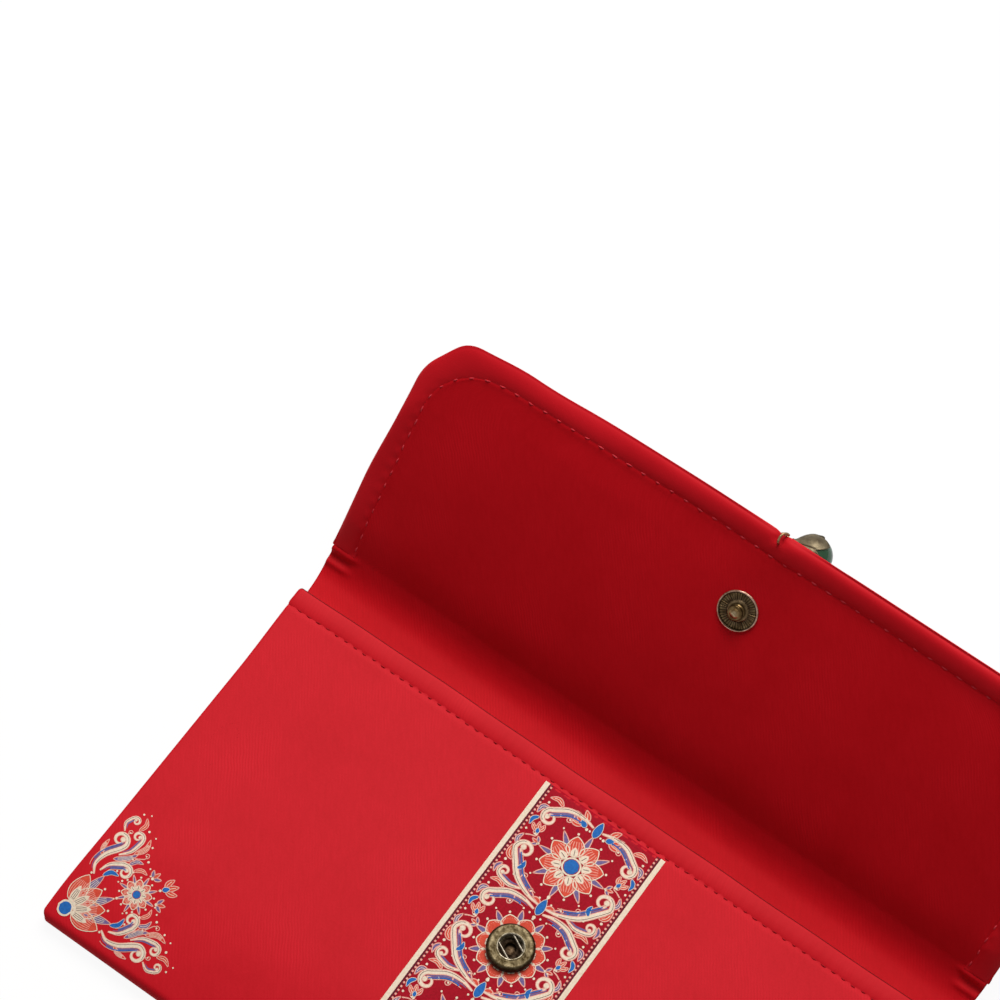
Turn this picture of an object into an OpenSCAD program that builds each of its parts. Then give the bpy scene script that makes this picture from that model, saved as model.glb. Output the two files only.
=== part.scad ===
// Fabric money pouch with a snap flap and a bead charm, lying on its back with the flap raised.
// X runs across the pouch, Y from the bottom fold to the mouth, Z up from the back. Sizes in mm.

/* [Pouch] */
// Width of the pouch
pouch_w = 184; // [150:1:220]
// Height from the bottom fold to the mouth
pouch_h = 100; // [85:1:125]
// Thickness of the filled part of the pouch
pouch_t = 7.4; // [7:0.1:10]
// Thickness at the bottom fold
fold_t = 4.4; // [4:0.1:5.5]
// Length of the stretch that falls to the bottom fold
slope_l = 30; // [22:1:38]
// Corner radius of the pouch seen from above
corner_r = 2.5; // [1:0.1:4]

/* [Cloth] */
// Thickness of the outer cloth
cover_t = 0.5; // [0.4:0.02:0.6]
// Thickness of the stiffening board in the pocket walls
board_t = 0.5; // [0.4:0.02:0.7]
// Thickness of the lining cloth
lining_t = 0.36; // [0.3:0.02:0.45]
// Thickness of the binding tape
tape_t = 0.35; // [0.3:0.01:0.4]
// Height of the tape on the mouth
mouth_tape_h = 6.4; // [6.2:0.1:8]
// Distance of the mouth seam from the mouth edge
mouth_seam = 5.2; // [4.5:0.1:5.8]
// Length of one stitch
stitch_l = 1.9; // [1.4:0.1:2.1]
// Distance from one stitch to the next on the mouth
mouth_step = 2.7; // [2.5:0.1:4]
// Distance from one stitch to the next on the flap
flap_step = 3.9; // [2.8:0.1:5]
// Diameter of the sewing thread
thread_d = 0.44; // [0.3:0.02:0.5]

/* [Flap] */
// Length of the flap from the spine to its free edge
flap_l = 66; // [58:0.5:75]
// How much wider each side of the flap is at its free edge than at the spine
flap_flare = 2; // [0:0.1:3]
// Angle of the flap above the table in the stored pose
flap_tilt = 47; // [35:1:60]
// Thickness of the flap without its binding
flap_t = 2.2; // [2:0.1:3]
// Length of the corner cut along the side
cut_side = 10; // [6:0.5:12]
// Length of the corner cut along the free edge
cut_top = 7.5; // [4:0.5:9]
// Width of the binding along the sides
bind_side = 5.8; // [5:0.1:7]
// Width of the binding along the free edge
bind_top = 7; // [6:0.1:8]
// Corner radius of the binding's inner line
bind_r = 12; // [9:0.5:15]

/* [Snap] */
// Distance of the snap's middle from the mouth edge
snap_drop = 44.3; // [38:0.1:48]
// Outer diameter of the socket
socket_d = 11.4; // [11:0.1:13]
// Height of the socket above the front
socket_h = 2.2; // [2:0.05:2.6]
// Diameter of the socket's mouth
bore_d = 5.9; // [5.6:0.1:6.4]
// Outer diameter of the stud's flange
stud_d = 10.1; // [9.6:0.1:11]
// Height of the stud's rim
stud_rim_h = 0.75; // [0.65:0.05:0.9]
// Widest diameter of the stud's head
head_d = 3.9; // [3.7:0.1:4.2]
// Diameter of the stud's neck
neck_d = 2.9; // [2.7:0.1:3]
// Number of ribs on the stud's flange
stud_ribs = 24; // [16:1:30]
// Diameter of the cap on the flap's outer face
cap_d = 12; // [11:0.1:13]
// Diameter of the spring wire
spring_d = 0.5; // [0.4:0.02:0.6]

/* [Charm] */
// Diameter of the glass bead
bead_d = 9.6; // [8.6:0.1:10.4]
// Number of petals on the bead's cap
petals = 6; // [5:1:8]
// Angle between the charm and the flap in the stored pose
charm_lean = 28; // [26:1:40]
// Angle by which the charm hangs below the line of the flap's free edge
charm_droop = 14; // [0:1:18]
// Wire diameter of the link through the flap's edge
link_d = 0.8; // [0.6:0.05:0.9]

/* [Hidden] */
$fn = 72;
gap = 0.02;
red = [0.70, 0.05, 0.07];
deep_red = [0.45, 0.02, 0.04];
thread_red = [0.55, 0.03, 0.05];
card = [0.86, 0.84, 0.78];
brass = [0.55, 0.43, 0.24];
steel = [0.62, 0.62, 0.60];
gold = [0.85, 0.66, 0.30];
green = [0.05, 0.35, 0.20];

bottom_y = -pouch_h / 2;
mouth_y = pouch_h / 2;
snap_y = mouth_y - snap_drop;
lip_w = 0.5;
wall_t = cover_t + board_t + lining_t + 2 * gap;
fold_r = fold_t / 2;
slope_y = bottom_y + slope_l;
slope_a = 2 * atan((pouch_t - fold_t) / (slope_l - fold_r));
slope_r = (slope_l - fold_r) / sin(slope_a) + fold_r;

// The shut flap lies this far above the front, so that the snap's two halves fit between them.
shut_gap = socket_h + stud_rim_h + 0.25;
shut_r = (pouch_t + shut_gap - wall_t) / 2;
hinge_z = wall_t + shut_r;
// The spine keeps its length: a half turn of shut_r when shut, flap_tilt degrees of spine_r when stored.
spine_r = shut_r * 180 / flap_tilt;
hinge_y = mouth_y + (spine_r + (shut_r - spine_r) * cos(flap_tilt) - shut_r) / sin(flap_tilt);
spine_w = pouch_w - 1;
root_y = mouth_y + spine_r * sin(flap_tilt);
root_z = wall_t + spine_r * (1 - cos(flap_tilt));
stud_y = snap_drop;

flap_w = pouch_w / 2;
core_in = 2.2;
nose_r = flap_t / 2 + tape_t + gap;
nose_z = -flap_t / 2;
flap_cover_t = 0.52;
flap_board_t = flap_t - flap_cover_t - lining_t - 2 * gap;

post_r = 1.15;
// Depth of the spring's wires under the socket's top
spring_in = 0.58;
wire_r = link_d / 2;
link_r = 1.95;
link_y = flap_l - 1.95;
link_top = -0.6;
link_low = -2.3;
pivot_z = link_low - link_r;
eye_r = 1.2;
eye_wire = 0.3;
pin_r = 0.35;
bead_r = bead_d / 2;
bead_s = bead_r + 3.6;
cap_t = 0.25;

function cross2(a, b) = a.x * b.y - a.y * b.x;
// Point where the line through p along u meets the line through q along v
function meet(p, u, q, v) = p + u * cross2(q - p, v) / cross2(u, v);
// Point p moved by d to the left of direction u
function left_of(p, u, d) = p + d * [-u.y, u.x] / norm(u);
function flap_side(y) = flap_w + flap_flare * y / flap_l;

side_p = [flap_w, 0];
side_u = [flap_flare, flap_l];
cut_p = [flap_side(flap_l - cut_side), flap_l - cut_side];
top_p = [flap_side(flap_l) - cut_top, flap_l];

// Right half of the flap's outline, moved inwards by d and starting at height y
function half_outline(d, y) = let (
        a = left_of(side_p, side_u, d),
        b = left_of(cut_p, top_p - cut_p, d),
        c = left_of(top_p, [-1, 0], d)
    ) [
        meet(a, side_u, [0, y], [1, 0]),
        meet(a, side_u, b, top_p - cut_p),
        meet(b, top_p - cut_p, c, [-1, 0])
    ];
function flap_outline(d, y) = let (h = half_outline(d, y)) [
        h[0], h[1], h[2], [-h[2].x, h[2].y], [-h[1].x, h[1].y], [-h[0].x, h[0].y]
    ];

// Centre of the round corner on the binding's inner line
bind_c = meet(left_of(side_p, side_u, bind_side + bind_r), side_u,
    [0, flap_l - bind_top - bind_r], [1, 0]);
side_n = [flap_l, -flap_flare] / norm([flap_l, flap_flare]);

// Places an outline of Y and Z values and draws it out along X, centred
module across(w) {
    translate([-w / 2, 0, 0])
        rotate([90, 0, 90])
            linear_extrude(w)
                children();
}

// Front wall's side view between two depths under its outer face
module front_strip(a, b) {
    translate([slope_y, pouch_t - b])
        square([mouth_y - 0.6 - slope_y, b - a]);
    translate([slope_y, pouch_t - slope_r])
        intersection() {
            difference() {
                circle(slope_r - a);
                circle(slope_r - b);
            }
            polygon([[0, 0], [0, 2 * slope_r], [-2 * slope_r * tan(slope_a), 2 * slope_r]]);
        }
}

// Pouch seen from above, with round corners at the bottom
module pouch_plan() {
    translate([-pouch_w / 2, bottom_y + corner_r])
        square([pouch_w, pouch_h]);
    translate([-pouch_w / 2 + corner_r, bottom_y])
        square([pouch_w - 2 * corner_r, pouch_h]);
    for (s = [-1, 1])
        translate([s * (pouch_w / 2 - corner_r), bottom_y + corner_r])
            circle(corner_r);
}

module trim_to_plan() {
    intersection() {
        children();
        translate([0, 0, -1])
            linear_extrude(pouch_t + 2)
                pouch_plan();
    }
}

module back_layer(z, t, w) {
    translate([-w / 2, bottom_y + fold_r, z])
        cube([w, pouch_h - fold_r, t]);
}

module at_flap() {
    translate([0, root_y, root_z])
        rotate([flap_tilt, 0, 0])
            children();
}

module at_socket() {
    translate([0, snap_y, pouch_t])
        children();
}

module at_stud() {
    at_flap()
        translate([0, stud_y, 0])
            children();
}

// Charm's own axis is Z, and it starts at the link's wire
module at_charm() {
    at_flap()
        translate([0, link_y, pivot_z])
            rotate([0, 0, -charm_droop])
                rotate([0, 90 + charm_lean, 0])
                    children();
}

module flap_holes() {
    translate([0, stud_y, -10])
        cylinder(r = post_r + gap, h = 20);
    translate([0, link_y - link_r, -10])
        cylinder(r = wire_r + 0.35, h = 20);
    // Notch in the free edge, where the link pulls it in
    translate([-wire_r - 0.35, link_y + link_r - wire_r - 0.15, -10])
        cube([2 * wire_r + 0.7, 5, 20]);
}

// Field of the flap inside the binding's inner line
module bind_field() {
    a = meet(left_of(side_p, side_u, bind_side), side_u, [0, -1], [1, 0]);
    lo = atan2(side_n.y, side_n.x);
    half = concat([a], [for (i = [0 : 12])
        bind_c + bind_r * [cos(lo + (90 - lo) * i / 12), sin(lo + (90 - lo) * i / 12)]]);
    polygon(concat(half, [for (i = [len(half) - 1 : -1 : 0]) [-half[i].x, half[i].y]]));
}

// Round bar between two points of the flap's plane
module bar(p, q, r) {
    u = q - p;
    translate([p.x, p.y, 0])
        rotate([0, 0, atan2(u.y, u.x)])
            rotate([0, 90, 0])
                cylinder(r = r, h = norm(u));
}

// Stitches laid from p to q
module stitch_row(p, q, step) {
    u = q - p;
    n = floor(norm(u) / step);
    s = (norm(u) - n * step) / 2;
    e = u / norm(u);
    for (i = [0 : n - 1]) {
        m = p + e * (s + (i + 0.5) * step);
        bar(m - e * stitch_l / 2, m + e * stitch_l / 2, thread_d / 2);
    }
}

module wire_ring(r, w) {
    rotate_extrude()
        translate([r, 0])
            circle(w);
}

// Outer cloth of the back, with its sides turned up over the board
module back_cover() {
    color(red)
        trim_to_plan() {
            back_layer(0, cover_t, pouch_w);
            for (s = [-1, 1])
                translate([s * (pouch_w - lip_w) / 2, 0, 0])
                    back_layer(0, wall_t, lip_w);
        }
}

module back_board() {
    color(card)
        back_layer(cover_t + gap, board_t, pouch_w - 2 * lip_w - 0.2);
}

module back_lining() {
    color(deep_red)
        back_layer(cover_t + board_t + 2 * gap, lining_t, pouch_w - 2 * lip_w - 2 * gap);
}

// Outer cloth of the front, with its sides turned down over the board
module front_cover() {
    color(red)
        difference() {
            trim_to_plan() {
                across(pouch_w)
                    front_strip(0, cover_t);
                for (s = [-1, 1])
                    translate([s * (pouch_w - lip_w) / 2, 0, 0])
                        across(lip_w)
                            front_strip(0, wall_t);
            }
            at_socket()
                translate([0, 0, -5])
                    cylinder(r = 1.95, h = 10);
        }
}

module front_board() {
    color(card)
        difference() {
            across(pouch_w - 2 * lip_w - 0.2)
                front_strip(cover_t + gap, cover_t + gap + board_t);
            at_socket()
                translate([0, 0, -5])
                    cylinder(r = 5.3, h = 10);
        }
}

module front_lining() {
    color(deep_red)
        across(pouch_w - 2 * lip_w - 2 * gap)
            front_strip(wall_t - lining_t, wall_t);
}

// Outer cloth turning from the back to the front
module bottom_fold() {
    k = 10 * fold_r;
    color(red)
        trim_to_plan()
            across(pouch_w)
                translate([bottom_y + fold_r, fold_r])
                    intersection() {
                        difference() {
                            circle(fold_r);
                            circle(fold_r - cover_t);
                        }
                        polygon([
                            [-gap, 0], [-gap - k * sin(slope_a), k * cos(slope_a)],
                            [-2 * k, k], [-2 * k, -k], [-gap, -k]
                        ]);
                    }
}

// Side wall of the pocket, set in from the edge
module gusset(s) {
    t = 0.5;
    translate([s * (pouch_w / 2 - 2), 0, 0])
        across(t)
            intersection() {
                front_strip(wall_t + gap, pouch_t);
                translate([bottom_y, wall_t + gap])
                    square([pouch_h - mouth_tape_h - 1, pouch_t]);
            }
}

module left_gusset() {
    color(deep_red)
        gusset(-1);
}

module right_gusset() {
    color(deep_red)
        gusset(1);
}

// Tape folded over the front wall's upper edge
module mouth_binding() {
    r = wall_t / 2 + tape_t;
    z = pouch_t - wall_t / 2;
    color(red)
        across(pouch_w + 0.4)
            difference() {
                union() {
                    translate([mouth_y - mouth_tape_h, z - r])
                        square([mouth_tape_h - r, 2 * r]);
                    translate([mouth_y - r, z])
                        circle(r);
                }
                translate([mouth_y - 20, z - wall_t / 2 - gap])
                    square([20 - 0.6 + gap, wall_t + 2 * gap]);
            }
}

module mouth_stitching() {
    y = mouth_y - mouth_seam;
    color(thread_red)
        translate([0, 0, pouch_t + tape_t + thread_d / 2 + gap])
            stitch_row([-pouch_w / 2 + 2, y], [pouch_w / 2 - 2, y], mouth_step);
}

// Domed ring with a spring groove around its mouth
module snap_socket() {
    ro = socket_d / 2;
    ri = bore_d / 2;
    k = 0.8;
    color(brass)
        at_socket()
            rotate_extrude()
                difference() {
                    union() {
                        translate([ri, gap])
                            square([ro - ri, socket_h - k - gap]);
                        translate([ri + 0.3, gap])
                            square([ro - k - ri - 0.3, socket_h - gap]);
                        translate([ro - k, socket_h - k])
                            circle(k);
                        translate([ri + 0.3, socket_h - 0.2])
                            circle(0.3);
                        translate([1.95, gap])
                            square([ro - 1.95, 0.2]);
                    }
                    translate([ri + 0.45, socket_h - spring_in])
                        square([0.95, spring_d + 0.12], center = true);
                }
}

// Two sprung wires that close behind the stud's head
module socket_spring() {
    x = neck_d / 2 + 0.22 + spring_d / 2;
    r = bore_d / 2 + 0.45;
    z = socket_h - spring_in;
    a = acos(x / r);
    color(steel)
        at_socket()
            translate([0, 0, z])
                for (s = [63, 243])
                    rotate([0, 0, s]) {
                        translate([x, -r * sin(a), 0])
                            rotate([-90, 0, 0])
                                cylinder(d = spring_d, h = 2 * r * sin(a));
                        rotate([0, 0, a])
                            rotate_extrude(angle = 60)
                                translate([r, 0])
                                    circle(d = spring_d);
                        translate([x, r * sin(a), 0])
                            sphere(d = spring_d + 0.06);
                    }
}

// Hollow rivet with a closed foot that holds the socket, its flange under the outer cloth
module socket_eyelet() {
    color(brass)
        at_socket()
            rotate_extrude() {
                translate([1.4, -cover_t - 0.42])
                    square([3.7, 0.4]);
                translate([1.4, -cover_t - 0.42])
                    square([0.5, cover_t + 0.72]);
                translate([1.4, 0.22 + gap])
                    square([1.1, 0.12]);
                translate([0, -cover_t - 0.42])
                    square([1.5, 0.2]);
            }
}

// One layer of the cloth spine between two depths under its inner face
module spine_layer(a, b) {
    k = 3 * spine_r;
    across(spine_w)
        translate([mouth_y + gap, wall_t + spine_r])
            intersection() {
                difference() {
                    circle(spine_r + b);
                    circle(spine_r + a);
                }
                polygon([[0, 0], [0, -k], [k * tan(flap_tilt - 0.25), -k]]);
            }
}

module spine_cover() {
    color(red)
        spine_layer(wall_t / 2 + gap, wall_t);
}

module spine_lining() {
    color(deep_red)
        spine_layer(0, wall_t / 2);
}

module flap_cover() {
    color(red)
        at_flap()
            difference() {
                translate([0, 0, -flap_t])
                    linear_extrude(flap_cover_t)
                        polygon(flap_outline(core_in, 0.2));
                flap_holes();
            }
}

module flap_board() {
    color(card)
        at_flap()
            difference() {
                translate([0, 0, -flap_t + flap_cover_t + gap])
                    linear_extrude(flap_board_t)
                        polygon(flap_outline(core_in, 1));
                flap_holes();
            }
}

module flap_lining() {
    color(deep_red)
        at_flap()
            difference() {
                translate([0, 0, -lining_t])
                    linear_extrude(lining_t)
                        polygon(flap_outline(core_in, 0.2));
                flap_holes();
            }
}

// Endless slab with one rounded edge, which lies on edge i of the flap
module rounded_side(i) {
    o = flap_outline(nose_r, 0);
    u = o[i + 1] - o[i];
    translate([o[i].x, o[i].y, nose_z])
        rotate([0, 0, atan2(u.y, u.x)])
            across(4 * flap_w)
                polygon(concat(
                    [for (a = [-90 : 15 : 90]) nose_r * [-cos(a), sin(a)]],
                    [[4 * flap_w, nose_r], [4 * flap_w, -nose_r]]
                ));
}

// Tape folded over the flap's three free edges
module flap_binding() {
    color(red)
        at_flap()
            difference() {
                intersection() {
                    rounded_side(0);
                    rounded_side(1);
                    rounded_side(2);
                    rounded_side(3);
                    rounded_side(4);
                    translate([-2 * flap_w, 0.3, -5])
                        cube([4 * flap_w, 2 * flap_l, 10]);
                }
                translate([0, 0, -5])
                    linear_extrude(10)
                        bind_field();
                translate([0, 0, -flap_t - gap])
                    linear_extrude(flap_t + 2 * gap)
                        polygon(flap_outline(core_in - gap, -2));
                flap_holes();
            }
}

module flap_stitching() {
    d = 0.8;
    r = bind_r + d;
    n = floor(r * 90 * PI / 180 / flap_step);
    b = left_of(side_p, side_u, bind_side - d);
    lo = meet(b, side_u, [0, 1.5], [1, 0]);
    s = bind_c + r * side_n;
    t = bind_c + [0, r];
    color(thread_red)
        at_flap()
            translate([0, 0, tape_t + 2 * gap + thread_d / 2]) {
                for (k = [-1, 1]) {
                    stitch_row([k * lo.x, lo.y], [k * s.x, s.y], flap_step);
                    for (i = [0 : n - 1])
                        translate([k * bind_c.x, bind_c.y, 0])
                            rotate([0, 0, k > 0 ? (i + 0.5) * 88 / n : 180 - (i + 0.5) * 88 / n])
                                translate([r, stitch_l / 2, 0])
                                    rotate([90, 0, 0])
                                        cylinder(d = thread_d, h = stitch_l);
                }
                stitch_row([-t.x, t.y], [t.x, t.y], flap_step);
            }
}

// Ribbed flange with a necked head that enters the socket
module snap_stud() {
    ro = stud_d / 2;
    k = 0.35;
    h = shut_gap - 0.5;
    b = (head_d - neck_d) / 2;
    color(brass)
        at_stud() {
            difference() {
                rotate_extrude() {
                    translate([0, gap])
                        square([ro - k, 0.28]);
                    translate([ro - k, stud_rim_h - k])
                        circle(k);
                    translate([ro - 2 * k, gap])
                        square([2 * k - 0.1, stud_rim_h - k]);
                    polygon([
                        [0, 0.2], [2.9, 0.2], [2.5, 0.5], [neck_d / 2 + 0.25, 0.72],
                        [neck_d / 2, 0.95], [0, 0.95]
                    ]);
                    square([neck_d / 2, h - 0.1]);
                    translate([neck_d / 2, h - b])
                        circle(b);
                    square([neck_d / 2, h]);
                    // Round tip, which dips into the rivet's bore when the flap is shut
                    intersection() {
                        translate([0, h + 0.5 - 1.8])
                            circle(1.8);
                        translate([0, h - 0.1])
                            square([1.22, 1]);
                    }
                }
                translate([0, 0, -1])
                    cylinder(r = post_r, h = 1.6);
                translate([0, 0, -1])
                    cylinder(r = ro + 1, h = 1 + gap);
            }
            for (i = [0 : stud_ribs - 1])
                rotate([0, 0, i * 360 / stud_ribs])
                    translate([2.75, 0, 0.3])
                        rotate([0, 90, 0])
                            cylinder(r = 0.17, h = ro - 2 * k - 2.7);
        }
}

// Domed cap on the flap's outer face, with the post that holds the stud
module snap_cap() {
    r = cap_d / 2;
    h = 1.3;
    s = (r * r + h * h) / (2 * h);
    color(brass)
        at_stud() {
            translate([0, 0, -flap_t - gap])
                intersection() {
                    translate([0, 0, s - h])
                        sphere(s, $fn = 144);
                    translate([0, 0, -h - 1])
                        cylinder(r = r - 0.1, h = h + 1);
                }
            translate([0, 0, -flap_t - 0.5])
                cylinder(r = post_r - gap, h = flap_t + 1);
        }
}

// Oval wire link that goes through the flap near its free edge and around it
module charm_link() {
    color(gold)
        at_flap()
            translate([0, link_y, 0])
                rotate([90, 0, 90]) {
                    translate([0, link_top, 0])
                        rotate_extrude(angle = 180)
                            translate([link_r, 0])
                                circle(wire_r);
                    translate([0, link_low, 0])
                        rotate([0, 0, 180])
                            rotate_extrude(angle = 180)
                                translate([link_r, 0])
                                    circle(wire_r);
                    for (s = [-1, 1])
                        translate([s * link_r, link_low, 0])
                            rotate([-90, 0, 0])
                                cylinder(r = wire_r, h = link_top - link_low);
                }
}

// Wire pin with an eye around the link and a ball on its other end
module charm_pin() {
    e = eye_r - 0.8;
    color(gold)
        at_charm() {
            translate([0, 0, e])
                rotate([90, 0, 0])
                    wire_ring(eye_r, eye_wire);
            translate([0, 0, e + eye_r])
                cylinder(r = pin_r, h = bead_s + bead_r - e - eye_r + 0.5);
            translate([0, 0, bead_s + bead_r + 0.75])
                sphere(0.85);
        }
}

// Bronze cap whose petals hold the bead
module charm_cap() {
    ro = bead_r + gap + cap_t;
    n = petals;
    color(brass)
        at_charm()
            difference() {
                union() {
                    translate([0, 0, bead_s])
                        intersection() {
                            sphere(ro);
                            translate([0, 0, -ro])
                                cylinder(r = ro + 1, h = ro + bead_r * 0.54);
                        }
                    translate([0, 0, bead_s - bead_r - 1.3])
                        cylinder(r1 = 1, r2 = 2.4, h = 1.9);
                    translate([0, 0, bead_s - bead_r - 1.35])
                        wire_ring(0.9, 0.25);
                }
                translate([0, 0, bead_s])
                    sphere(bead_r + gap);
                for (i = [0 : n - 1])
                    rotate([0, 0, (i + 0.5) * 360 / n])
                        translate([0, 0, bead_s])
                            rotate([90, 0, 90])
                                linear_extrude(ro + 1)
                                    polygon(bead_r * [
                                        [0, -0.3], [0.06, 0.05], [0.17, 0.32], [0.5, 0.56], [0.5, 0.7],
                                        [-0.5, 0.7], [-0.5, 0.56], [-0.17, 0.32], [-0.06, 0.05]
                                    ]);
                cylinder(r = pin_r + gap, h = bead_s);
            }
}

module charm_bead() {
    color(green)
        at_charm()
            difference() {
                translate([0, 0, bead_s])
                    sphere(bead_r);
                cylinder(r = pin_r + gap, h = 3 * bead_s);
            }
}

back_cover();
back_board();
back_lining();
front_cover();
front_board();
front_lining();
bottom_fold();
left_gusset();
right_gusset();
mouth_binding();
mouth_stitching();
snap_socket();
socket_spring();
socket_eyelet();
spine_cover();
spine_lining();
flap_cover();
flap_board();
flap_lining();
flap_binding();
flap_stitching();
snap_stud();
snap_cap();
charm_link();
charm_pin();
charm_cap();
charm_bead();
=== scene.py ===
import math

import bpy
import numpy as np
from mathutils import Matrix, Vector


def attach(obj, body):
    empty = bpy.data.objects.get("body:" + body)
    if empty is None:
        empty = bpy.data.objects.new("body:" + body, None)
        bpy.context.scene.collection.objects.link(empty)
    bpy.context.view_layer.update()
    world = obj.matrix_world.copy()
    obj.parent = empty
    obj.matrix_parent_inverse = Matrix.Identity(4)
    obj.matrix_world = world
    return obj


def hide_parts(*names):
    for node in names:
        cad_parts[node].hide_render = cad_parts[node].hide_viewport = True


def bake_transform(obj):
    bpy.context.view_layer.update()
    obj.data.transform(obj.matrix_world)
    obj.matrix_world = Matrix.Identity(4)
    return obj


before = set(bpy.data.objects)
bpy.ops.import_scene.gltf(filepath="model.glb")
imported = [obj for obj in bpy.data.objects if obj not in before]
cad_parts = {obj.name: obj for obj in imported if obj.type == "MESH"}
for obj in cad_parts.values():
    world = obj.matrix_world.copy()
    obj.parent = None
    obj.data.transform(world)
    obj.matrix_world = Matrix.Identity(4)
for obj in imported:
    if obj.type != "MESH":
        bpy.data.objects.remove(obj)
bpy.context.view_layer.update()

# A red cloth money pouch lies on its back with its flap raised. Sizes are in mm until a mesh is filled.
MM = 0.001

# Pouch
POUCH_W = 184
HALF_W = POUCH_W / 2
POUCH_H = 100
POUCH_T = 7.4  # at the mouth
FOLD_R = 2.2  # bottom fold
SLOPE_L = 30  # stretch of the front that slopes down to the fold
FRONT_CROWN = 0.65  # height by which the filled front swells
CORNER_R = 1.6  # bottom corners
WAIST = 0.55  # by which the sides pull in
CLOTH_T = 0.5
EDGE_R = 0.7  # turn of the cloth at the sides
EDGE_LIP = 1.1  # cloth that turns in there
WALL_T = 1.4  # cloth, card and lining of the back
SNAP_Y = 5.7
SNAP_FLAT = 9  # reach of the flat place round the snap
RIVET_HOLE = 3
MOUTH_Y = POUCH_H / 2
SEAM_Y = 44.8  # stitches below the mouth
SEAM_DEPTH = 0.26
SEAM_WIDTH = 0.75
MOUTH_STEP = 2.7  # from stitch to stitch
MOUTH_FIRST = -88.5  # first stitch

# Flap
FLAP_L = 66
FLAP_FLARE = 2  # by which half its width grows towards the free edge
FLAP_TILT = math.radians(47)
FLAP_T = 2.2
SIDE_FALL = 1.3  # by which the left side hangs lower
CORNER_FALL = 1.5
PAD_H = 0.3  # soft rise of the faces
LINK_LIFT = 0.75  # where the link gathers the free edge
CUT_SIDE = 11.6  # cut of the corners, along the sides
CUT_TOP = 7.6  # cut of the corners, along the free edge
STUD_D = 44.3  # from the spine
POST_HOLE = 2.2
RIM_SIDE = 5  # from the seam to the edge
RIM_TOP = 6.2
RIM_R = 12.8  # corners of the seam
FIELD_TOP = FLAP_L - RIM_TOP
FIELD_HALF = 90.8
UNDER_RIM = 0.4  # reach of the flap's faces under the rim's top
FLAP_STEP = 3.9
FLAP_FIRST = 2.5

# Cloth spine, whose arc is as long as the half turn that it makes when the pouch is shut
SHUT_R = 4.6
SPINE_R = SHUT_R * math.pi / FLAP_TILT
ROOT_Y = MOUTH_Y + SPINE_R * math.sin(FLAP_TILT)
ROOT_Z = WALL_T + SPINE_R * (1 - math.cos(FLAP_TILT))

# Side view of the front: the arc of the fold, then a shallow arc, then the flat
SLOPE_Y = SLOPE_L - POUCH_H / 2
SLOPE_A = 2 * math.atan((POUCH_T - 2 * FOLD_R) / (SLOPE_L - FOLD_R))
SLOPE_R = (SLOPE_L - FOLD_R) / math.sin(SLOPE_A) + FOLD_R
FOLD_S = FOLD_R * (math.pi - SLOPE_A)
SLOPE_S = FOLD_S + SLOPE_R * SLOPE_A
FRONT_S = SLOPE_S + 68  # cloth's end under the hem
FINE_S = SLOPE_S + 60  # rows are close together from here on


def rise(t, low, high):
    """0 below low, 1 above high, and a soft step between them."""
    k = np.clip((t - low) / (high - low), 0, 1)
    return k * k * (3 - 2 * k)


def bell(t, centre, width):
    """A soft hump of height 1 at centre."""
    return np.exp(-(((t - centre) / width) ** 2))


def run_along(line):
    """Length of a line up to each of its points."""
    return np.concatenate([[0], np.cumsum(np.linalg.norm(np.diff(line, axis=0), axis=1))])


def unit(rows):
    """Each row as a direction of length 1."""
    return rows / np.maximum(np.linalg.norm(rows, axis=1), 1e-6)[:, None]


def even_line(line, steps):
    """The same line with evenly spaced points."""
    line = np.asarray(line, float)
    run = run_along(line)
    want = np.linspace(0, run[-1], steps + 1)
    return np.column_stack([np.interp(want, run, line[:, k]) for k in range(line.shape[1])])


def smooth_line(points, steps):
    """A smooth line through the points."""
    p = np.asarray(points, float)
    p = np.vstack([2 * p[0] - p[1], p, 2 * p[-1] - p[-2]])
    t = np.linspace(0, 1, 20, endpoint=False)[:, None]
    runs = []
    for a, b, c, d in zip(p[:-3], p[1:-2], p[2:-1], p[3:]):
        runs.append(0.5 * (2 * b + (c - a) * t + (2 * a - 5 * b + 4 * c - d) * t**2
                           + (3 * b - a - 3 * c + d) * t**3))
    return even_line(np.vstack(runs + [p[-2:-1]]), steps)


# Meshes

def mark_cut(mesh, cut):
    """Writes each point's place on the cut, in mm, as its UV in metres."""
    corner = np.empty(len(mesh.loops), dtype=np.int32)
    mesh.loops.foreach_get("vertex_index", corner)
    mesh.uv_layers.active.data.foreach_set("uv", (cut[corner] * MM).ravel())


def lay_cloth(name, across, along, place):
    """A grid of cloth. place gives each point's x, y, z from its place on the cut."""
    bpy.ops.object.select_all(action="DESELECT")
    bpy.ops.mesh.primitive_grid_add(
        x_subdivisions=len(across) - 1, y_subdivisions=len(along) - 1, size=2)
    piece = bpy.context.object
    piece.name = name
    mesh = piece.data
    mesh.name = name
    co = np.empty(len(mesh.vertices) * 3)
    mesh.vertices.foreach_get("co", co)
    co = co.reshape(-1, 3)
    i = np.rint((co[:, 0] + 1) / 2 * (len(across) - 1)).astype(int)
    j = np.rint((co[:, 1] + 1) / 2 * (len(along) - 1)).astype(int)
    a = np.asarray(across, float)[i]
    b = np.asarray(along, float)[j]
    mesh.vertices.foreach_set("co", (place(a, b) * MM).ravel())
    mark_cut(mesh, np.column_stack([a, b]))
    mesh.update()
    return piece


def from_points(name, points, faces):
    """A piece from its points in mm and its faces."""
    mesh = bpy.data.meshes.new(name)
    mesh.from_pydata((points * MM).tolist(), [], faces)
    piece = bpy.data.objects.new(name, mesh)
    bpy.context.scene.collection.objects.link(piece)
    return piece


def alone(piece):
    """Makes piece the only selected object."""
    bpy.ops.object.select_all(action="DESELECT")
    piece.select_set(True)
    bpy.context.view_layer.objects.active = piece


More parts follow.
